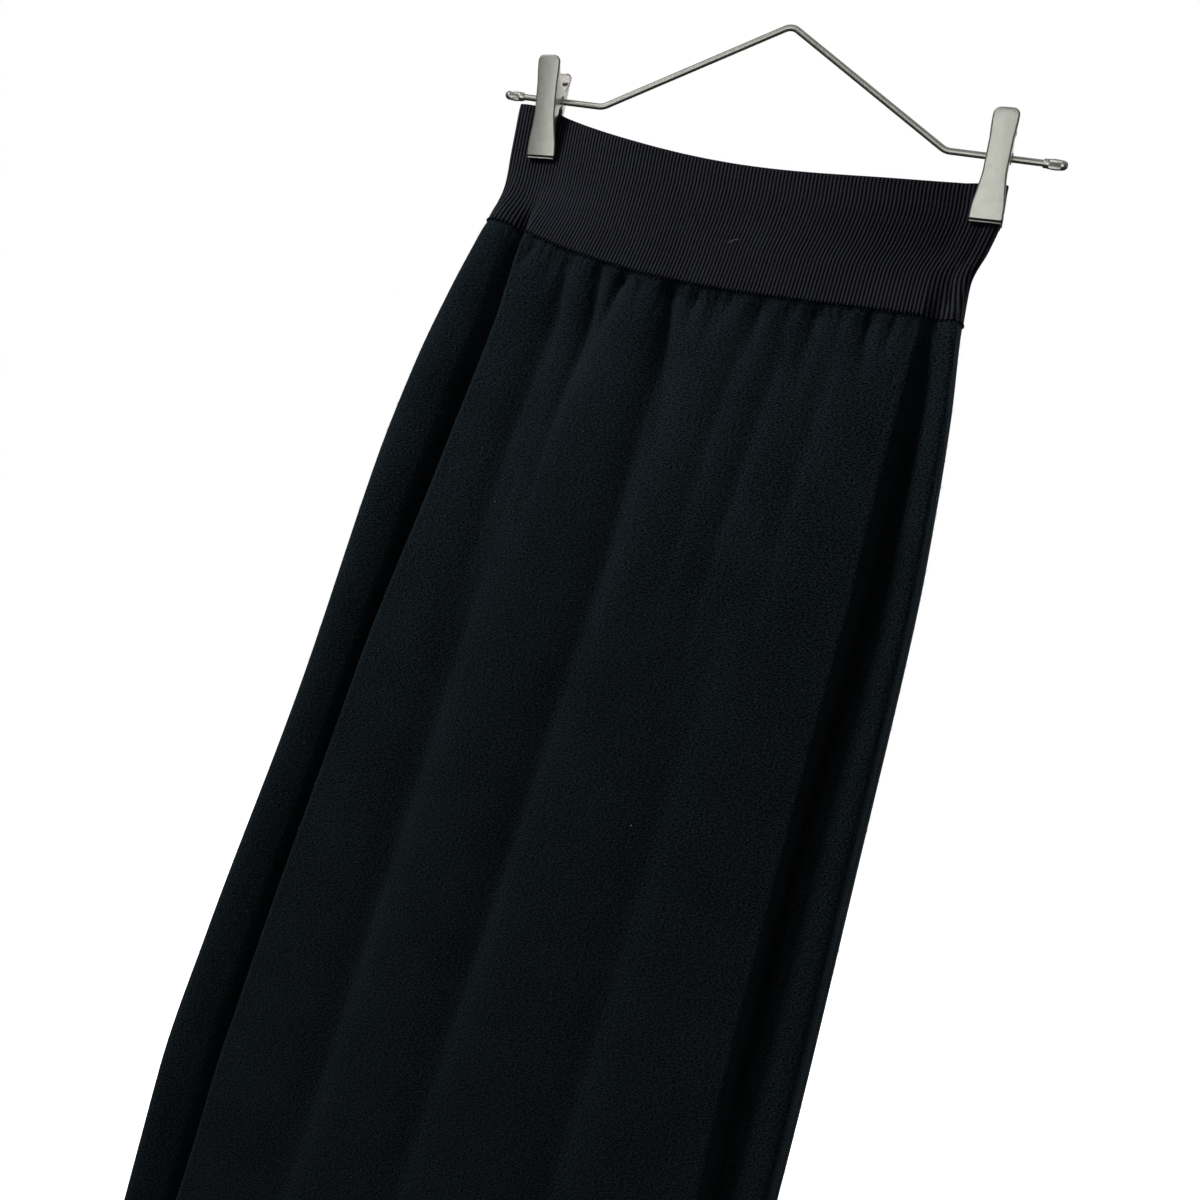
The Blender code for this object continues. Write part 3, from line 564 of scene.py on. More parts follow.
def smooth_loop(points, steps=64):
    """A closed Catmull-Rom curve through the points, spaced by the root of each chord."""
    count = len(points)
    loop = []
    for i in range(count):
        p0, p1, p2, p3 = (points[(i + k) % count] for k in (-1, 0, 1, 2))
        t1 = np.linalg.norm(p1 - p0) ** 0.5
        t2 = t1 + np.linalg.norm(p2 - p1) ** 0.5
        t3 = t2 + np.linalg.norm(p3 - p2) ** 0.5
        t = (t1 + (t2 - t1) * np.arange(steps) / steps)[:, None]
        a1 = (t1 - t) / t1 * p0 + t / t1 * p1
        a2 = (t2 - t) / (t2 - t1) * p1 + (t - t1) / (t2 - t1) * p2
        a3 = (t3 - t) / (t3 - t2) * p2 + (t - t2) / (t3 - t2) * p3
        b1 = (t2 - t) / t2 * a1 + t / t2 * a2
        b2 = (t3 - t) / (t3 - t1) * a2 + (t - t1) / (t3 - t1) * a3
        loop.append((t2 - t) / (t2 - t1) * b1 + (t - t1) / (t2 - t1) * b2)
    return np.concatenate(loop)


class Ring:
    """One level section, read by the distance round it from the left outer fold, by the front."""

    def __init__(self, drop):
        points = smooth_loop(guide_points(eased_row(SECTIONS, drop)))
        self.closed = np.vstack([points, points[:1]])
        steps = np.linalg.norm(np.diff(self.closed, axis=0), axis=1)
        self.along = np.concatenate([[0.0], np.cumsum(steps)])
        self.length = self.along[-1]
        tangent = np.roll(points, -1, axis=0) - np.roll(points, 1, axis=0)
        normal = np.stack([tangent[:, 1], -tangent[:, 0]], axis=1)
        normal /= np.linalg.norm(normal, axis=1)[:, None]
        self.normals = np.vstack([normal, normal[:1]])
        self.right_fold = self.along[int(np.argmax(points[:, 0]))]

    def at_turn(self, turn):
        """The distance round at a share of the whole turn, the right fold being halfway."""
        return np.interp(turn, [0.0, 0.5, 1.0], [0.0, self.right_fold, self.length])

    def under(self, other, turn):
        """Distances round, straight below those of another ring, but evenly shared out near the folds."""
        even = self.at_turn(turn)
        upright = np.empty_like(even)
        for half, start, end in ((turn < 0.5, 0.0, 0.5), (turn >= 0.5, 0.5, 1.0)):
            steps = np.linspace(start, end, 600)
            mine, theirs = (ring.read(ring.at_turn(steps) - 1e-9)[0][:, 0] for ring in (self, other))
            mine, theirs = (np.abs(x - x[0]) / np.abs(x[-1] - x[0]) for x in (mine, theirs))
            share = np.interp(turn[half], steps, theirs)
            upright[half] = self.at_turn(np.interp(share, np.maximum.accumulate(mine), steps))
        from_fold = np.abs(np.mod(turn + 0.25, 0.5) - 0.25)
        return even + (upright - even) * smoothstep(*UPRIGHT, from_fold)

    def read(self, distance):
        """Points and outward normals at these distances round the ring."""
        distance = np.mod(distance, self.length)
        point = np.stack([np.interp(distance, self.along, self.closed[:, k]) for k in (0, 1)], axis=1)
        normal = np.stack([np.interp(distance, self.along, self.normals[:, k]) for k in (0, 1)], axis=1)
        return point, normal / np.linalg.norm(normal, axis=1)[:, None]


def height(x, drop):
    """The level of a point of the cloth: the band sags between the clips, and the hem is level."""
    across = np.clip((x + CLIP_HALF_SPAN) / (2.0 * CLIP_HALF_SPAN), 0.0, 1.0)
    share = np.clip(drop / BAND_HEIGHT, 0.0, 1.0)
    skew = 1.0 + (DIP_SKEW + (SEAM_SKEW - DIP_SKEW) * share) * (0.5 - across)
    dip = (BAND_DIP + (SEAM_DIP - BAND_DIP) * share) * 4.0 * across * (1.0 - across) * skew
    tilt = (BAND_TILT + SEAM_TILT * share) * (x - SECTIONS[0].left) / (SECTIONS[0].right - SECTIONS[0].left)
    fade = 1.0 - smoothstep(BAND_HEIGHT, SAG_ENDS, drop)
    return BAND_TOP_Z - drop - (dip + tilt) * fade


def placed(flat, drop):
    """Level points given their height."""
    return np.column_stack([flat, height(flat[:, 0], drop)])


def crease(apart):
    """A groove's profile, sharper at its bottom than a bell curve."""
    return np.exp(SHARPNESS - np.sqrt(SHARPNESS**2 + 2.4 * apart * apart))


def trough(apart):
    """A soft fold's profile: a long slope down from the left, and a quicker one up to the right."""
    return crease(1.25 * np.where(apart < 0.0, apart / 1.35, apart / 0.80))


def relief(x, drop, gathers, soft_folds):
    """How far the gathers and soft folds move the cloth in or out, drop being measured from the seam."""
    start = smoothstep(0.0, SEAM_HOLD, drop)
    moved = np.full_like(x, PUFF * (0.3 + 0.7 * start) * np.exp(-((drop / PUFF_LENGTH) ** 2)))
    moved = moved - TUCK * math.exp(-((drop / TUCK_LENGTH) ** 2))
    for fold in gathers:
        centre = fold.x + fold.lean * drop
        fade = (0.25 + 0.75 * start) * np.exp(-((drop / fold.length) ** 2))
        spread = fold.width * (1.0 + drop / GATHER_OPENING)
        moved = moved - GATHER_STRENGTH * fold.depth * fade * crease((x - centre) / spread)
    for fold in soft_folds:
        centre = fold.x + fold.lean * drop
        fade = np.exp(-(((drop - fold.drop) / fold.reach) ** 2)) * smoothstep(0.0, SOFT_START, drop)
        moved = moved - SOFT_STRENGTH * fold.depth * fade * trough((x - centre) / fold.width)
    return moved


# ---------------------------------------------------------------- cloth shells


def grid_faces(rows, columns, first, flip, closed):
    """Quads over a grid of points, wrapping round if it is a tube."""
    row = np.arange(rows - 1)[:, None]
    column = np.arange(columns if closed else columns - 1)[None, :]
    beside = (column + 1) % columns
    corners = [row * columns + column, row * columns + beside, (row + 1) * columns + beside]
    corners.append((row + 1) * columns + column)
    if flip:
        corners.reverse()
    return (np.stack(corners, axis=-1).reshape(-1, 4) + first).tolist()


def hem_faces(outer, inner):
    """Triangles between a fine edge loop and a coarser one beside it, both open lists of point numbers."""
    faces = []
    for k, (a, b) in enumerate(zip(inner, inner[1:])):
        fine = outer[k * COARSER : (k + 1) * COARSER + 1]
        half = len(fine) // 2
        faces += [(fine[n + 1], fine[n], a) for n in range(half)]
        faces.append((fine[half], a, b))
        faces += [(fine[n + 1], fine[n], b) for n in range(half, len(fine) - 1)]
    return [tuple(int(point) for point in face) for face in faces]


def add_cloth(name, outer, inner, axes, closed, finish):
    """A cloth wall from a fine grid of outer points and a coarse one of inner points.

    axes are the distances round and down at the outer points.
    """
    rows, columns = outer.shape[:2]
    size = rows * columns
    fine = np.arange(size).reshape(rows, columns)
    coarse = size + np.arange(inner.shape[0] * inner.shape[1]).reshape(inner.shape[:2])
    faces = grid_faces(rows, columns, 0, False, closed)
    faces += grid_faces(*inner.shape[:2], size, True, closed)
    if closed:
        faces += hem_faces([*fine[0], fine[0, 0]], [*coarse[0], coarse[0, 0]])
        faces += hem_faces([fine[-1, 0], *fine[-1, ::-1]], [coarse[-1, 0], *coarse[-1, ::-1]])
    else:
        loops = [[*grid[0], *grid[1:, -1], *grid[-1, -2::-1], *grid[-2::-1, 0]] for grid in (fine, coarse)]
        faces += hem_faces(*loops)
    points = np.concatenate([outer.reshape(-1, 3), inner.reshape(-1, 3)])
    obj = add_mesh(name, points, faces, finish)
    kept = obj.data.attributes.new("cloth", "FLOAT_VECTOR", "POINT")
    flat = [np.concatenate([axis.ravel(), axis[::COARSER, ::COARSER].ravel()]) for axis in axes]
    kept.data.foreach_set("vector", np.column_stack([*flat, 0.0 * flat[0]]).ravel())
    return obj


def make_band(finish):
    """The rib tube: one rounded rib after another outside, plain inside, and rounded edges."""
    around = RIB_COUNT * BAND_POINTS_PER_RIB
    turn = np.arange(around) / around
    wave = 0.5 - 0.5 * np.cos(2.0 * math.pi * np.arange(around) / BAND_POINTS_PER_RIB)
    lip = BAND_LIP * (1.0 - np.cos(np.linspace(0.0, 0.5 * math.pi, 4)))
    middle_rows = np.linspace(BAND_LIP, BAND_HEIGHT - BAND_LIP, BAND_ROWS - 6)[1:-1]
    drops = np.concatenate([lip, middle_rows, BAND_HEIGHT - lip[::-1]])
    ribbed = RIB_VALLEY + (RIB_CREST - RIB_VALLEY) * wave
    middle = 0.5 * (RIB_CREST - BAND_INNER)
    outer = []
    inner = []
    top = Ring(0.0)
    for drop in drops:
        ring = Ring(drop)
        spot, normal = ring.read(ring.under(top, turn))
        edge = min(drop, BAND_HEIGHT - drop, BAND_LIP) / BAND_LIP
        shrink = 1.0 - math.sqrt(max(0.0, 1.0 - (1.0 - edge) ** 2))
        proud = ribbed + (middle - ribbed) * shrink
        sunk = -BAND_INNER + (middle + BAND_INNER) * shrink
        outer.append(placed(spot + normal * proud[:, None], drop))
        inner.append(placed(spot + normal * sunk, drop))
    ribs = np.broadcast_to(turn * RIB_COUNT, (len(drops), around))
    down = np.broadcast_to(drops[:, None], (len(drops), around))
    inner = np.array(inner)[::COARSER, ::COARSER]
    return add_cloth("band_cloth", np.array(outer), inner, (ribs, down), True, finish)


def panel_drops():
    """Rows close together under the seam, where the gathers are, and wider lower down."""
    top = BAND_HEIGHT + SEAM_GAP
    share = np.linspace(0.0, 1.0, PANEL_ROWS - 4)
    spread = 0.20 * share + 0.80 * share**1.9
    rows = top + (SKIRT_LENGTH - HEM_DEPTH - HEM_FADE - top) * spread
    hem = SKIRT_LENGTH - np.array([HEM_DEPTH, 0.6 * HEM_DEPTH, 0.2 * HEM_DEPTH, 0.0])
    return np.concatenate([rows, hem])


def puckers(x, drop, seed):
    """Small unequal puckers that fade a little way below the seam."""
    draw = np.random.default_rng(seed)
    moved = np.zeros_like(x)
    for centre in np.arange(*FINE_SPAN, FINE_PITCH):
        spot = centre + draw.uniform(-FINE_SHIFT, FINE_SHIFT)
        depth = draw.uniform(*FINE_DEPTH)
        length = draw.uniform(*FINE_LENGTH)
        lean = draw.uniform(-FINE_LEAN, FINE_LEAN)
        apart = (x - spot - lean * drop) / FINE_HALF_WIDTH
        moved -= depth * np.exp(-((drop / length) ** 2)) * crease(apart)
    return moved


def make_panel(name, front, gathers, soft_folds, seed, finish):
    """A panel from side seam to side seam, hung from the band's lower edge."""
    outer = []
    inner = []
    around = []
    drops = panel_drops()
    for drop in drops:
        ring = Ring(drop)
        right = ring.right_fold - SIDE_SEAM_FROM_SIDE
        left = right + 0.5 * ring.length
        start, end = (left - ring.length, right) if front else (right, left)
        distance = np.linspace(start + 0.5 * SIDE_GAP, end - 0.5 * SIDE_GAP, PANEL_COLUMNS)
        spot, normal = ring.read(distance)
        below = drop - BAND_HEIGHT - SEAM_GAP
        moved = relief(spot[:, 0], below, gathers, soft_folds) + puckers(spot[:, 0], below, seed)
        frontal = smoothstep(0.25, 0.75, np.abs(normal[:, 1]))
        spot = spot + normal * (moved * frontal)[:, None]
        hem = smoothstep(SKIRT_LENGTH - HEM_DEPTH - HEM_FADE, SKIRT_LENGTH - HEM_DEPTH, drop)
        wall = PANEL_WALL + (HEM_WALL - PANEL_WALL) * hem
        outer.append(placed(spot + normal * 0.5 * PANEL_WALL, drop))
        inner.append(placed(spot - normal * (wall - 0.5 * PANEL_WALL), drop))
        around.append(distance - 0.5 * (start + end))
    down = np.broadcast_to(drops[:, None], (len(drops), PANEL_COLUMNS))
    inner = np.array(inner)[::COARSER, ::COARSER]
    return add_cloth(name, np.array(outer), inner, (np.array(around), down), False, finish)


# ---------------------------------------------------------------- sewing, fuzz and lint


def outer_grid(cloth):
    """The outer points of a panel as rows and columns, with the directions out of the cloth there."""
    points = np.empty(3 * len(cloth.data.vertices))
    cloth.data.vertices.foreach_get("co", points)
    points = points.reshape(-1, 3)[: PANEL_ROWS * PANEL_COLUMNS].reshape(PANEL_ROWS, PANEL_COLUMNS, 3)
    return points, unit(np.cross(np.gradient(points, axis=0), np.gradient(points, axis=1)))


def unit(vectors):
    return vectors / np.linalg.norm(vectors, axis=-1, keepdims=True)


def add_strands(name, paths, radii, sides, finish):
    """One piece of many closed strands: paths[strand, step] and a radius for each."""
    count, steps = paths.shape[:2]
    along = unit(np.gradient(paths, axis=1))
    across = unit(np.cross(along, (0.31, 0.87, 0.23)))
    third = np.cross(along, across)
    turns = 2.0 * math.pi * np.arange(sides) / sides
    circle = across[:, :, None] * np.cos(turns)[:, None] + third[:, :, None] * np.sin(turns)[:, None]
    points = paths[:, :, None] + circle * radii[:, :, None, None]
    size = steps * sides
    walls = np.array(grid_faces(steps, sides, 0, True, True))
    ends = np.array([np.arange(sides)[::-1], np.arange(size - sides, size)])
    first = size * np.arange(count)[:, None, None]
    faces = (walls + first).reshape(-1, 4).tolist() + (ends + first).reshape(-1, sides).tolist()
    return outward(add_mesh(name, points.reshape(-1, 3), faces, finish))


def make_links(finish):
    """The loops that link each rib of the band to the panels."""
    turn = (np.arange(RIB_COUNT) + 0.5) / RIB_COUNT
    paths = []
    top = Ring(0.0)
    for reach, proud in zip(np.linspace(-LINK_REACH[0], LINK_REACH[1], len(LINK_PROUD)), LINK_PROUD):
        drop = BAND_HEIGHT + reach
        ring = Ring(drop)
        spot, normal = ring.read(ring.under(top, turn))
        paths.append(placed(spot + proud * normal, drop))
    paths = np.stack(paths, axis=1)
    radii = np.broadcast_to(LINK_RADIUS * np.array([0.6, 1.0, 1.0, 0.9, 0.5]), paths.shape[:2])
    return settle(add_strands("band_link_stitches", paths, radii, STITCH_SIDES, finish), "rib_knit")


def make_ladder(side, one, other, finish):
    """The bars that join two panels along a side seam. one and other are the panels' grids, seam first."""
    levels = -one[0][:, 0, 2]
    bars = np.arange(levels[0] + LADDER_PITCH, levels[-1], LADDER_PITCH)

    def at(values):
        return np.stack([np.interp(bars, levels, values[:, k]) for k in range(3)], axis=1)

    edges = [at(grid[0][:, 0]) for grid in (one, other)]
    inwards = [LADDER_REACH * at(unit(grid[0][:, 2] - grid[0][:, 0])) for grid in (one, other)]
    out = unit(at(one[1][:, 0]) + at(other[1][:, 0]))
    middle = 0.5 * (edges[0] + edges[1])
    slope = np.array([0.0, 0.0, 0.25 * LADDER_PITCH])
    paths = [
        edges[0] + inwards[0] - slope,
        edges[0] + 0.4 * inwards[0] + LADDER_PROUD[0] * out - slope,
        middle + LADDER_PROUD[1] * out,
        edges[1] + 0.4 * inwards[1] + LADDER_PROUD[0] * out + slope,
        edges[1] + inwards[1] + slope,
    ]
    paths = np.stack(paths, axis=1)
    radii = np.broadcast_to(LADDER_RADIUS * np.array([0.6, 1.0, 1.1, 1.0, 0.6]), paths.shape[:2])
    return settle(add_strands(side + "_seam_stitches", paths, radii, STITCH_SIDES, finish), "jersey_knit")


def make_hem_stitches(name, grid, finish):
    """The row of small stitches where the turned hem is caught, just above its edge."""
    points, normals = grid
    row = points[-4] + 0.0001 * normals[-4]
    along = np.concatenate([[0.0], np.cumsum(np.linalg.norm(np.diff(row, axis=0), axis=1))])
    starts = np.arange(0.5 * HEM_PITCH, along[-1] - HEM_PITCH, HEM_PITCH)
    spots = starts[:, None] + HEM_STITCH * np.linspace(0.0, 1.0, 4)[None, :]
    paths = np.stack([np.interp(spots, along, row[:, k]) for k in range(3)], axis=-1)
    radii = np.broadcast_to(HEM_RADIUS * np.array([0.5, 1.0, 1.0, 0.5]), paths.shape[:2])
    return settle(add_strands(name, paths, radii, STITCH_SIDES, finish), "jersey_knit")


def spread(grid, count, draw):
    """Places at random, even in height, over a panel's grid: points, normals and directions along it."""
    points, normals = grid
    rows, columns = points.shape[:2]
    levels = -points[:, columns // 2, 2]
    row = np.interp(draw.uniform(levels[0] + 0.002, levels[-1] - 0.004, count), levels, np.arange(rows))
    row = row.astype(int)
    column = draw.integers(3, columns - 3, count)
    angle = draw.uniform(0.0, 2.0 * math.pi, count)[:, None]
    out = normals[row, column]
    level = unit(points[row, column + 1] - points[row, column - 1])
    return points[row, column], out, np.cos(angle) * level + np.sin(angle) * np.cross(out, level)


def make_fuzz(name, grid, seed, finish):
    """Short curved fibres that stand a little way off a panel."""
    draw = np.random.default_rng(seed)
    root, out, way = spread(grid, FUZZ_COUNT, draw)
    length, lift, radius = (
        draw.uniform(*size, FUZZ_COUNT)[:, None] for size in (FUZZ_LENGTH, FUZZ_LIFT, FUZZ_RADIUS)
    )
    curl = draw.normal(0.0, FUZZ_CURL, FUZZ_COUNT)[:, None]
    aside = np.cross(out, way)
    paths = []
    for t in np.linspace(0.0, 1.0, 5):
        along = length * (t * way + curl * t * t * aside)
        paths.append(root + along + lift * math.sin(0.75 * math.pi * t) * out)
    paths = np.stack(paths, axis=1)
    radii = radius * np.array([1.0, 1.0, 0.9, 0.7, 0.4])
    return settle(add_strands(name, paths, radii, 3, finish), "jersey_knit")


def make_lint(name, grid, marks, seed, finish):
    """Small pale specks, most at random places and the largest at the marks."""
    draw = np.random.default_rng(seed)
    root, out, way = spread(grid, SPECK_COUNT, draw)
    size = draw.uniform(*SPECK_SIZE, SPECK_COUNT)
    points, normals = grid
    for k, mark in enumerate(marks):
        z = BAND_TOP_Z - mark.drop
        nearest = np.argmin(np.abs(points[..., 0] - mark.x) + np.abs(points[..., 2] - z))
        root[k] = points.reshape(-1, 3)[nearest]
        out[k] = normals.reshape(-1, 3)[nearest]
        size[k] = mark.size
    size = size[:, None]
    paths = np.stack([root + size * (t * way + 0.35 * out) for t in (-0.5, -0.2, 0.2, 0.5)], axis=1)
    radii = size * np.array([0.20, 0.42, 0.38, 0.18])
    return settle(add_strands(name, paths, radii, 6, finish), "jersey_knit")


def make_band_fibre(finish):
    """The one pale fibre that lies curved on the band."""
    steps = np.linspace(-0.5, 0.5, 9)
    x = BAND_FIBRE.x + BAND_FIBRE.size * steps
    drop = BAND_FIBRE.drop - 0.55 * BAND_FIBRE.size * steps + 0.7 * BAND_FIBRE.size * steps**2
    ring = Ring(BAND_FIBRE.drop)
    half = ring.along < ring.right_fold
    y = np.interp(x, ring.closed[half, 0], ring.closed[half, 1]) - RIB_CREST - 0.0003
    paths = np.column_stack([x, y, height(x, drop)])[None]
    radii = BAND_FIBRE_RADIUS * np.array([[0.5, 0.8, 1.0, 1.0, 1.0, 1.0, 1.0, 0.8, 0.5]])
    return settle(add_strands("band_fibre", paths, radii, STITCH_SIDES, finish), "rib_knit")


# ---------------------------------------------------------------- hanger


def swung(matrix):
    """A placing in the hanger's own upright frame, swung about the peg."""
    return Matrix.Rotation(-HANGER_SWING, 4, "Y") @ matrix


def bend(before, corner, after, radius, steps):
    """An arc that rounds the corner of a bent wire."""
    before, corner, after = Vector(before), Vector(corner), Vector(after)
    inward = (before - corner).normalized()
    leaving = (after - corner).normalized()
    half = 0.5 * inward.angle(leaving)
    centre = corner + (inward + leaving).normalized() * radius / math.sin(half)
    reach = radius / math.tan(half)
    first = (corner + inward * reach - centre).normalized()
    last = (corner + leaving * reach - centre).normalized()
    return [centre + radius * first.slerp(last, k / steps) for k in range(steps + 1)]


def add_rod(name, path, radius, resolution, finish):
    """A round rod along a path of points."""
    curve = bpy.data.curves.new(name, "CURVE")
    curve.dimensions = "3D"
    curve.bevel_depth = radius
    curve.bevel_resolution = resolution
    curve.use_fill_caps = True
    spline = curve.splines.new("POLY")
    spline.points.add(len(path) - 1)
    spline.use_smooth = True
    for point, spot in zip(spline.points, path):
        point.co = (*spot, 1.0)
    return add_object(name, curve, finish)


def make_wire(finish):
    """The bent wire: two bars and two arms, with the peg's bend at the top."""
    bar = -HANGER_RISE
    slope = math.atan2(HANGER_RISE, BEND_HALF_SPAN)
    apex = 0.5 * WIRE_DIAMETER + TOP_BEND_RADIUS * (1.0 / math.cos(slope) - 1.0)
    reach = TIP_HALF_SPAN - 0.4 * CAP_LENGTH
    corners = [
        (-reach, 0.0, bar),
        (-BEND_HALF_SPAN, 0.0, bar),
        (0.0, 0.0, apex),
        (BEND_HALF_SPAN, 0.0, bar),
        (reach, 0.0, bar),
    ]
    path = [Vector(corners[0])]
    path += bend(*corners[0:3], SIDE_BEND_RADIUS, 12)
    path += bend(*corners[1:4], TOP_BEND_RADIUS, 18)
    path += bend(*corners[2:5], SIDE_BEND_RADIUS, 12)
    path.append(Vector(corners[4]))
    obj = add_rod("bent_wire", path, 0.5 * WIRE_DIAMETER, 8, finish)
    obj.matrix_world = swung(Matrix.Identity(4))
    return settle(obj, "hanger_metal", "hanger_wire")


# ---------------------------------------------------------------- clips

# A jaw is a bent plate. along is measured up it from its gripping end, width is its own and flange how
# far its two sides are folded back.
Station = namedtuple("Station", "along width flange")
FRONT_JAW = (
    Station(0.0000, 0.0200, 0.0013),
    Station(0.0060, 0.0198, 0.0015),
    Station(0.0130, 0.0180, 0.0022),
    Station(0.0200, 0.0158, 0.0045),
    Station(0.0258, 0.0144, 0.0072),
    Station(0.0326, 0.0137, 0.0095),
    Station(0.0342, 0.0135, 0.0160),
    Station(0.0370, 0.0134, 0.0182),
    Station(0.0417, 0.0137, 0.0172),
    Station(0.0462, 0.0143, 0.0110),
    Station(0.0512, 0.0149, 0.0050),
    Station(0.0567, 0.0154, 0.0022),
    Station(0.0616, 0.0154, 0.0016),
    Station(0.0630, 0.0142, 0.0015),
)
BACK_JAW = (
    Station(0.0000, 0.0200, 0.0013),
    Station(0.0060, 0.0196, 0.0014),
    Station(0.0130, 0.0160, 0.0016),
    Station(0.0200, 0.0124, 0.0020),
    Station(0.0285, 0.0110, 0.0028),
    Station(0.0353, 0.0109, 0.0042),
    Station(0.0369, 0.0109, 0.0100),
    Station(0.0399, 0.0109, 0.0115),
    Station(0.0442, 0.0109, 0.0100),
    Station(0.0497, 0.0112, 0.0045),
    Station(0.0547, 0.0124, 0.0022),
    Station(0.0612, 0.0134, 0.0016),
    Station(0.0630, 0.0124, 0.0015),
)
JAW_ROWS = 90
JAW_TOP_ROUND = 0.0042  # the radius of a jaw's upper corners
FILLET_STEPS = 5
SLOT_SIZE = (0.0076, 0.0040, 0.0018)
SLOT_FROM_TOP = 0.0072
SLOT_BEVEL = 0.0007
PAD_BEVEL = 0.0004
LIP_SIZE = (PAD_SIZE[0], 0.0016, 0.0008)
LIP_BEVEL = 0.00025
LIP_OUT = 0.0009  # the middle of the lip, out from the pad's face and down from the pad's lower edge
LIP_DOWN = 0.0003
EYELET_FROM_MIDDLE = 0.0068
EYELET_RADIUS = 0.0036
EYELET_RIM = 0.0031
EYELET_DEPTH = 0.0009
SPRING_WIRE = 0.00055
SPRING_TURNS = 5
SPRING_STEPS = 22  # points in each turn
SPRING_ARMS = (-0.0065, 0.0050)  # how far out its two arms reach, to the front and to the back
SPRING_ARM_DROP = 0.0140

# Where each clip rides on its bar, and how far the cloth has pulled its jaws aside.
CLIPS = (("left", -0.1490, math.radians(4.1)), ("right", 0.1450, math.radians(2.1)))


def jaw_cut(half, flange):
    """The U-shaped section of a jaw: (across, inward) pairs, the plate's face at inward 0."""
    outer = min(JAW_CORNER, 0.85 * flange)
    inner = max(outer - JAW_METAL, 0.0002)
    floor = min(JAW_METAL, flange - 0.0004)
    right = [(half, flange - 0.0002)]
    turns = [0.5 * math.pi * k / FILLET_STEPS for k in range(FILLET_STEPS + 1)]
    right += [(half - outer + outer * math.cos(t), outer - outer * math.sin(t)) for t in turns]
    inside = []
    for t in reversed(turns):
        across = half - JAW_METAL - inner + inner * math.cos(t)
        inside.append((across, min(floor + inner - inner * math.sin(t), flange - 0.0001)))
    inside.append((half - JAW_METAL, flange - 0.0002))
    tip = [(half - JAW_METAL + 0.0002, flange), (half - 0.0002, flange)]
    left, left_tip, left_inside = (
        [(-across, inward) for across, inward in reversed(part)] for part in (right, tip, inside)
    )
    return right + left + left_tip + left_inside + inside + tip


def jaw_frame(lean, front):
    """The jaw's frame about the bar: local X across, local Y inward from the plate, local Z up it."""
    turn = Matrix.Identity(4) if front else Matrix.Rotation(math.pi, 4, "Z")
    tilt = Matrix.Rotation(lean, 4, "X")
    grip = Vector((0.0, -0.5 * PAD_GAP - PAD_SIZE[1] - CLEARANCE - JAW_METAL, 0.0))
    below = JAW_LENGTH - JAW_BAR_FROM_TOP
    foot = Matrix.Translation(grip + Vector((0.0, 0.0, -below * math.cos(lean))))
    return turn @ foot @ tilt


def make_jaw(name, stations, lean, front, place, finish):
    """A jaw read finely from its table of stations, with its upper corners rounded."""
    alongs, widths, flanges = zip(*stations)
    rows = np.concatenate([
        np.linspace(0.0, JAW_LENGTH - JAW_TOP_ROUND, JAW_ROWS)[:-1],
        JAW_LENGTH - JAW_TOP_ROUND * (1.0 - np.sin(np.linspace(0.0, 0.5 * math.pi, 12))),
    ])
    cuts = []
    for along in rows:
        past = max(0.0, along - (JAW_LENGTH - JAW_TOP_ROUND))
        round_in = JAW_TOP_ROUND - math.sqrt(max(0.0, JAW_TOP_ROUND**2 - past**2))
        half = 0.5 * max(widths[-1], eased(alongs, widths, min(along, alongs[-2]))) - 0.9 * round_in
        flange = eased(alongs, flanges, along)
        cuts.append([(x, y, along) for x, y in jaw_cut(half, flange)])
    points = [point for cut in cuts for point in cut]
    size = len(cuts[0])
    faces = [tuple(range(size)), tuple(range(len(points) - size, len(points)))]
    faces += grid_faces(len(cuts), size, 0, False, True)
    jaw = outward(add_mesh(name, points, faces, finish, sharp=42.0))
    jaw.matrix_world = place @ jaw_frame(lean, front)
    return jaw


def cut_slot(jaw):
    """The slot across the upper end of a back jaw, cut through its plate."""
    cutter = make_block("slot", SLOT_SIZE, SLOT_BEVEL, jaw.data.materials[0])
    middle = Matrix.Translation((0.0, 0.5 * JAW_METAL, JAW_LENGTH - SLOT_FROM_TOP))
    cutter.matrix_world = jaw.matrix_world @ middle
    cut = jaw.modifiers.new("slot", "BOOLEAN")
    cut.operation = "DIFFERENCE"
    cut.object = cutter
    whole = jaw.data
    jaw.data = bpy.data.meshes.new_from_object(jaw.evaluated_get(bpy.context.evaluated_depsgraph_get()))
    jaw.modifiers.clear()
    bpy.data.objects.remove(cutter)
    bpy.data.meshes.remove(whole)


def make_block(name, size, bevel, finish):
    mesh = bpy.data.meshes.new(name)
    shape = bmesh.new()
    bmesh.ops.create_cube(shape, size=1.0)
    bmesh.ops.scale(shape, vec=size, verts=shape.verts)
    bmesh.ops.bevel(shape, geom=list(shape.edges), offset=bevel, segments=3, affect="EDGES", profile=0.5)
    shape.to_mesh(mesh)
    shape.free()
    mesh.shade_smooth()
    mesh.set_sharp_from_angle(angle=math.radians(50.0))
    return add_object(name, mesh, finish)


def grip_block(name, size, bevel, out, down, front, place, finish):
    """A block at a jaw's gripping end: out from the middle of the gap, and down from the jaw's foot."""
    block = make_block(name, size, bevel, finish)
    below = (JAW_LENGTH - JAW_BAR_FROM_TOP) * math.cos(JAW_FRONT_LEAN if front else JAW_BACK_LEAN)
    block.matrix_world = place @ Matrix.Translation((0.0, -out if front else out, -below - down))
    return block


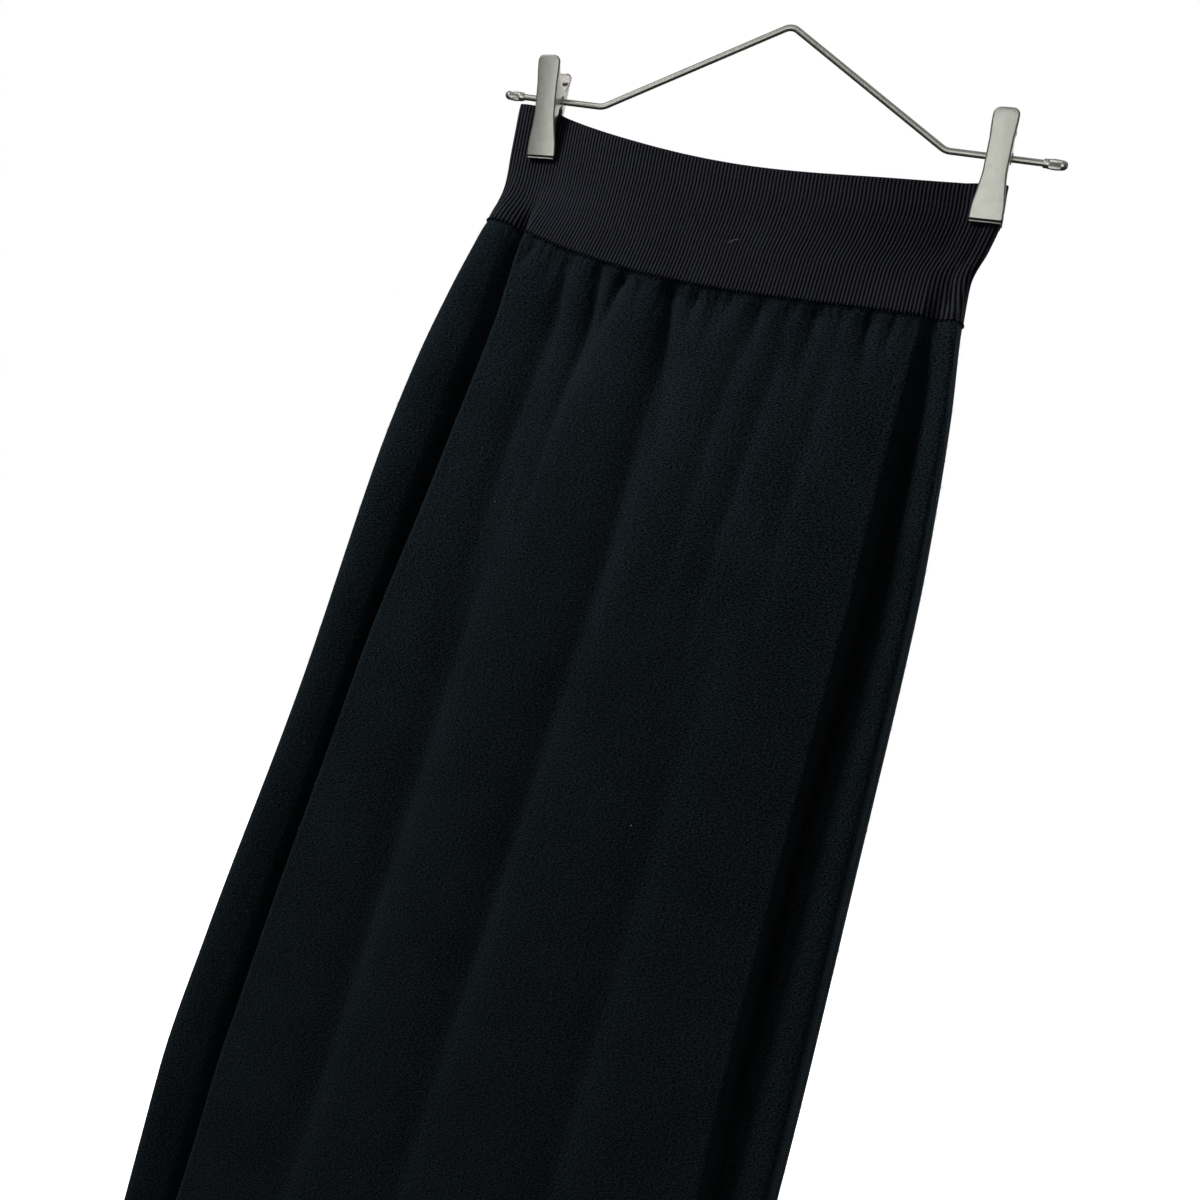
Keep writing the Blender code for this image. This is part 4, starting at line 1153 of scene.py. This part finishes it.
def make_grip(node, face, place, metal, rubber):
    """The soft pad inside a jaw's end, and the bright edge of its metal tray, a thin line below the jaw."""
    front = face == "front"
    out = 0.5 * (PAD_GAP + PAD_SIZE[1])
    down = PAD_BELOW_JAW - 0.5 * PAD_SIZE[2]
    pad = grip_block(f"{node}_{face}_rubber", PAD_SIZE, PAD_BEVEL, out, down, front, place, rubber)
    settle(pad, "clip_pad", f"{node}_{face}_pad")
    out = 0.5 * PAD_GAP + LIP_OUT
    down = PAD_BELOW_JAW + LIP_DOWN
    lip = grip_block(f"{node}_{face}_lip", LIP_SIZE, LIP_BEVEL, out, down, front, place, metal)
    settle(lip, "hanger_metal")


def make_spring(name, bar, finish):
    """Round coils on the bar, with an arm out to each jaw."""
    radius = 0.5 * SPRING_DIAMETER - SPRING_WIRE
    half = 0.5 * SPRING_LENGTH - SPRING_WIRE
    count = SPRING_TURNS * SPRING_STEPS
    path = []
    for k in range(count + 1):
        angle = 2.0 * math.pi * k / SPRING_STEPS + 0.5 * math.pi
        path.append((-half + 2.0 * half * k / count, radius * math.cos(angle), radius * math.sin(angle)))
    start, end = ((path[k][0], arm, path[k][2] - SPRING_ARM_DROP) for k, arm in zip((0, -1), SPRING_ARMS))
    spring = add_rod(name, [start] + path + [end], SPRING_WIRE, 3, finish)
    spring.matrix_world = bar
    return spring


def facing(side):
    """Local X turned towards the right (1) or the left (-1)."""
    return Matrix.Rotation(0.0 if side > 0 else math.pi, 4, "Z")


def turned(name, along, radii, sharp, finish):
    """A solid turned about local X: where each ring lies along it, and the ring's radii, all round."""
    sides = radii.shape[1]
    turns = 2.0 * math.pi * np.arange(sides) / sides
    along = np.broadcast_to(along[:, None], radii.shape)
    points = np.stack([along, radii * np.cos(turns), radii * np.sin(turns)], axis=-1).reshape(-1, 3)
    faces = grid_faces(len(radii), sides, 0, False, True)
    faces += [tuple(range(sides)), tuple(range(len(points) - sides, len(points)))]
    return outward(add_mesh(name, points, faces, finish, sharp=sharp))


def make_eyelet(name, side, bar, finish):
    """The raised collar round the bar on the outside of an ear."""
    inner = 0.5 * WIRE_DIAMETER + 0.0001
    along = np.array([0.0, 0.0, 0.0005, EYELET_DEPTH, EYELET_DEPTH])
    radii = np.array([inner, EYELET_RADIUS, EYELET_RADIUS, EYELET_RIM, inner])
    eyelet = turned(name, along, np.repeat(radii[:, None], 32, axis=1), 45.0, finish)
    eyelet.matrix_world = bar @ Matrix.Translation((side * EYELET_FROM_MIDDLE, 0.0, 0.0)) @ facing(side)
    return eyelet


# An end cap: its collar, as places along it with shares of its radius there, and its knurled grip.
CAP_COLLAR = ((0.0, 0.62), (0.0, 0.76), (0.0006, 0.84), (0.0022, 0.84), (0.0028, 0.90))
CAP_GRIP = (0.0032, 0.0104)
CAP_SIDES = 72
KNURL_CROSSINGS = 18
KNURL_SLANT = 5200.0  # the turn of a knurled line, in radians for each metre along
KNURL_DEPTH = 0.0002
KNURL_PAST = 0.0002  # how far the knurling runs on past the grip


def make_cap(side_name, side, finish):
    """A round-nosed cap on the end of a bar, with its knurling cut in diamonds."""
    start, end = CAP_GRIP
    grip = np.linspace(start, end, 25)
    nose = np.linspace(0.0, 0.5 * math.pi, 9)[1:]
    profile = list(CAP_COLLAR)
    profile += [(x, 0.90 + 0.10 * math.sin((x - start) / (end - start) * math.pi)) for x in grip]
    profile += [(end + (CAP_LENGTH - end) * math.sin(t), 0.22 + 0.68 * math.cos(t)) for t in nose]
    along, share = np.array(profile).T
    turn = KNURL_CROSSINGS * 2.0 * math.pi * np.arange(CAP_SIDES)[None] / CAP_SIDES
    slant = KNURL_SLANT * along[:, None]
    knurled = ((along > start - KNURL_PAST) & (along < end + KNURL_PAST))[:, None]
    cut = knurled * KNURL_DEPTH * (1.0 - np.sin(turn + slant) * np.sin(turn - slant))
    radii = 0.5 * CAP_DIAMETER * share[:, None] - cut
    cap = turned("knurled_cap_" + side_name, along, radii, 60.0, finish)
    mouth = Matrix.Translation((side * (TIP_HALF_SPAN - CAP_LENGTH), 0.0, -HANGER_RISE))
    cap.matrix_world = swung(mouth @ facing(side))
    return settle(cap, "cap_metal", "end_cap_" + side_name)


def make_clips(metal, inside, rubber):
    for side, x, aside in CLIPS:
        bar = swung(Matrix.Translation((x, 0.0, -HANGER_RISE)))
        place = bar @ Matrix.Rotation(-aside, 4, "Y")
        node = "clip_" + side
        front = make_jaw(node + "_front_plate", FRONT_JAW, JAW_FRONT_LEAN, True, place, metal)
        settle(front, "hanger_metal", node + "_front_jaw")
        back = make_jaw(node + "_back_plate", BACK_JAW, JAW_BACK_LEAN, False, place, inside)
        cut_slot(back)
        settle(back, "hanger_metal", node + "_back_jaw")
        for face in ("front", "back"):
            make_grip(node, face, place, metal, rubber)
        spring = make_spring(node + "_coil", bar, metal)
        settle(spring, "hanger_metal", node + "_spring")
        for label, way in (("outer", 1), ("inner", -1)):
            settle(make_eyelet(f"{node}_eyelet_{label}", way, bar, metal), "hanger_metal")


# ---------------------------------------------------------------- studio

CAMERA_PLACE = (0.2177, -0.7443, -0.3542)
CAMERA_AZIMUTH = math.radians(17.631)
CAMERA_RISE = math.radians(2.0)
CAMERA_ROLL = math.radians(15.872)
FLOOR_Z = -1.02
FLOOR_RADIUS = 6.0

# Lamps light the cloth alone, and cards show in the metal alone. Power is in watts.
Light = namedtuple("Light", "name place target size power falls_on")
LIGHTS = (
    Light("key", (-1.00, -0.80, 0.72), (0.0, 0.0, -0.35), 0.42, 23.0, "cloth"),
    Light("fill", (0.75, -1.35, -0.95), (0.1, 0.0, -0.6), 0.9, 1.5, "cloth"),
    Light("clip_card", (-0.05, -1.5, -0.6), (0.0, 0.0, -0.1), 1.5, 6.5, "metal"),
    Light("wire_card", (-1.10, -1.30, 0.75), (0.0, 0.0, -0.1), 1.0, 5.0, "metal"),
    Light("back_card", (0.30, 1.60, 0.30), (0.0, 0.0, -0.1), 1.2, 4.0, "metal"),
    Light("back", (1.15, 0.90, 0.60), (0.0, 0.0, -0.45), 0.5, 30.0, "cloth"),
)

# The light that falls in from each height: the sine of the angle above the horizon, and its strength.
Sky = namedtuple("Sky", "sine strength")
SKY = (Sky(-1.00, 0.01), Sky(-0.40, 0.04), Sky(0.00, 0.10), Sky(0.50, 0.10), Sky(1.00, 0.30))


def make_camera():
    """The photo's view: from a little right of the front, and turned so that the skirt slants."""
    level = Vector((math.cos(CAMERA_AZIMUTH), math.sin(CAMERA_AZIMUTH), 0.0))
    away = Vector((level.y, -level.x, 0.0))
    back = math.cos(CAMERA_RISE) * away + Vector((0.0, 0.0, math.sin(CAMERA_RISE)))
    upright = back.cross(level)
    right = math.cos(CAMERA_ROLL) * level + math.sin(CAMERA_ROLL) * upright
    top = math.cos(CAMERA_ROLL) * upright - math.sin(CAMERA_ROLL) * level
    lens = bpy.data.cameras.new("view")
    lens.lens = 36.0
    lens.sensor_width = 36.0
    lens.clip_start = 0.01
    camera = bpy.data.objects.new("view", lens)
    camera.matrix_world = Matrix.Translation(CAMERA_PLACE) @ Matrix((right, top, back)).transposed().to_4x4()
    bpy.context.scene.collection.objects.link(camera)
    bpy.context.scene.camera = camera


def make_light(light):
    lamp = bpy.data.lights.new(light.name, "AREA")
    lamp.shape = "DISK"
    lamp.size = light.size
    lamp.energy = light.power
    obj = bpy.data.objects.new(light.name, lamp)
    obj.location = light.place
    obj.rotation_euler = (Vector(light.place) - Vector(light.target)).to_track_quat("Z", "Y").to_euler()
    obj.visible_diffuse = light.falls_on == "cloth"
    obj.visible_glossy = light.falls_on == "metal"
    bpy.context.scene.collection.objects.link(obj)


def make_sky():
    """White behind the object. What lights it and mirrors in it is a dim room, paler overhead."""
    world = bpy.data.worlds.new("studio")
    bpy.context.scene.world = world
    world.use_nodes = True
    tree = world.node_tree
    direction = tree.nodes.new("ShaderNodeTexCoord")
    axes = tree.nodes.new("ShaderNodeSeparateXYZ")
    level = tree.nodes.new("ShaderNodeMapRange")
    level.inputs["From Min"].default_value = -1.0
    room = tree.nodes.new("ShaderNodeValToRGB")
    while len(room.color_ramp.elements) < len(SKY):
        room.color_ramp.elements.new(1.0)
    for element, sky in zip(room.color_ramp.elements, SKY):
        element.position = 0.5 + 0.5 * sky.sine
        element.color = (sky.strength, sky.strength, sky.strength, 1.0)
    seen = tree.nodes.new("ShaderNodeLightPath")
    choice = tree.nodes.new("ShaderNodeMixRGB")
    choice.inputs["Color2"].default_value = (1.0, 1.0, 1.0, 1.0)
    tree.links.new(direction.outputs["Generated"], axes.inputs["Vector"])
    tree.links.new(axes.outputs["Z"], level.inputs["Value"])
    tree.links.new(level.outputs["Result"], room.inputs["Fac"])
    tree.links.new(room.outputs["Color"], choice.inputs["Color1"])
    tree.links.new(seen.outputs["Is Camera Ray"], choice.inputs["Fac"])
    tree.links.new(choice.outputs["Color"], tree.nodes["Background"].inputs["Color"])


def make_studio():
    floor_mesh = bpy.data.meshes.new("floor")
    shape = bmesh.new()
    bmesh.ops.create_circle(shape, cap_ends=True, segments=96, radius=FLOOR_RADIUS)
    shape.to_mesh(floor_mesh)
    shape.free()
    floor = add_object("floor", floor_mesh, floor_material())
    floor.location = (0.0, 0.0, FLOOR_Z)
    floor.visible_diffuse = False
    floor.visible_glossy = False
    make_sky()
    bpy.context.scene.view_settings.view_transform = "Standard"
    for light in LIGHTS:
        make_light(light)


# ---------------------------------------------------------------- the whole


def make_sewing_and_fuzz(front, back):
    yarn = thread_material("black_yarn", (0.008, 0.009, 0.011), (0.036, 0.038, 0.046))
    fibre = thread_material("loose_fibre", (0.016, 0.019, 0.022), (0.075, 0.083, 0.090))
    lint = lint_material()
    faces = {"front": outer_grid(front), "back": outer_grid(back)}
    ends = {name: [part[:, ::-1] for part in grid] for name, grid in faces.items()}
    make_links(yarn)
    make_ladder("left", faces["front"], ends["back"], yarn)
    make_ladder("right", ends["front"], faces["back"], yarn)
    for seed, (name, grid) in enumerate(faces.items()):
        make_hem_stitches(name + "_hem_stitches", grid, yarn)
        make_fuzz(name + "_fuzz", grid, 21 + seed, fibre)
        make_lint(name + "_lint", grid, FRONT_MARKS if name == "front" else (), 31 + seed, lint)
    make_band_fibre(lint)


def main():
    rib = rib_material()
    jersey = jersey_material()
    metal = metal_material("satin_plating", (0.56, 0.565, 0.50), (0.66, 0.665, 0.60), 0.36, 2400.0, 0.06)
    wire = metal_material("bright_wire", (0.60, 0.59, 0.53), (0.70, 0.69, 0.63), 0.40, 600.0, 0.0)
    inside = metal_material("inner_plating", (0.60, 0.58, 0.54), (0.72, 0.69, 0.65), 0.45, 2400.0, 0.06)
    caps = metal_material("cap_plating", (0.68, 0.68, 0.61), (0.80, 0.80, 0.74), 0.34, 2600.0, 0.06)
    rubber = pad_material()

    band = settle(make_band(rib), "rib_knit", "waistband")
    front = make_panel("front_cloth", True, FRONT_GATHERS, FRONT_SOFT_FOLDS, 3, jersey)
    settle(front, "jersey_knit", "skirt_front")
    back = make_panel("back_cloth", False, BACK_GATHERS, BACK_SOFT_FOLDS, 8, jersey)
    settle(back, "jersey_knit", "skirt_back")
    make_sewing_and_fuzz(front, back)
    make_wire(wire)
    make_cap("left", -1, caps)
    make_cap("right", 1, caps)
    make_clips(metal, inside, rubber)

    make_camera()
    make_studio()


main()
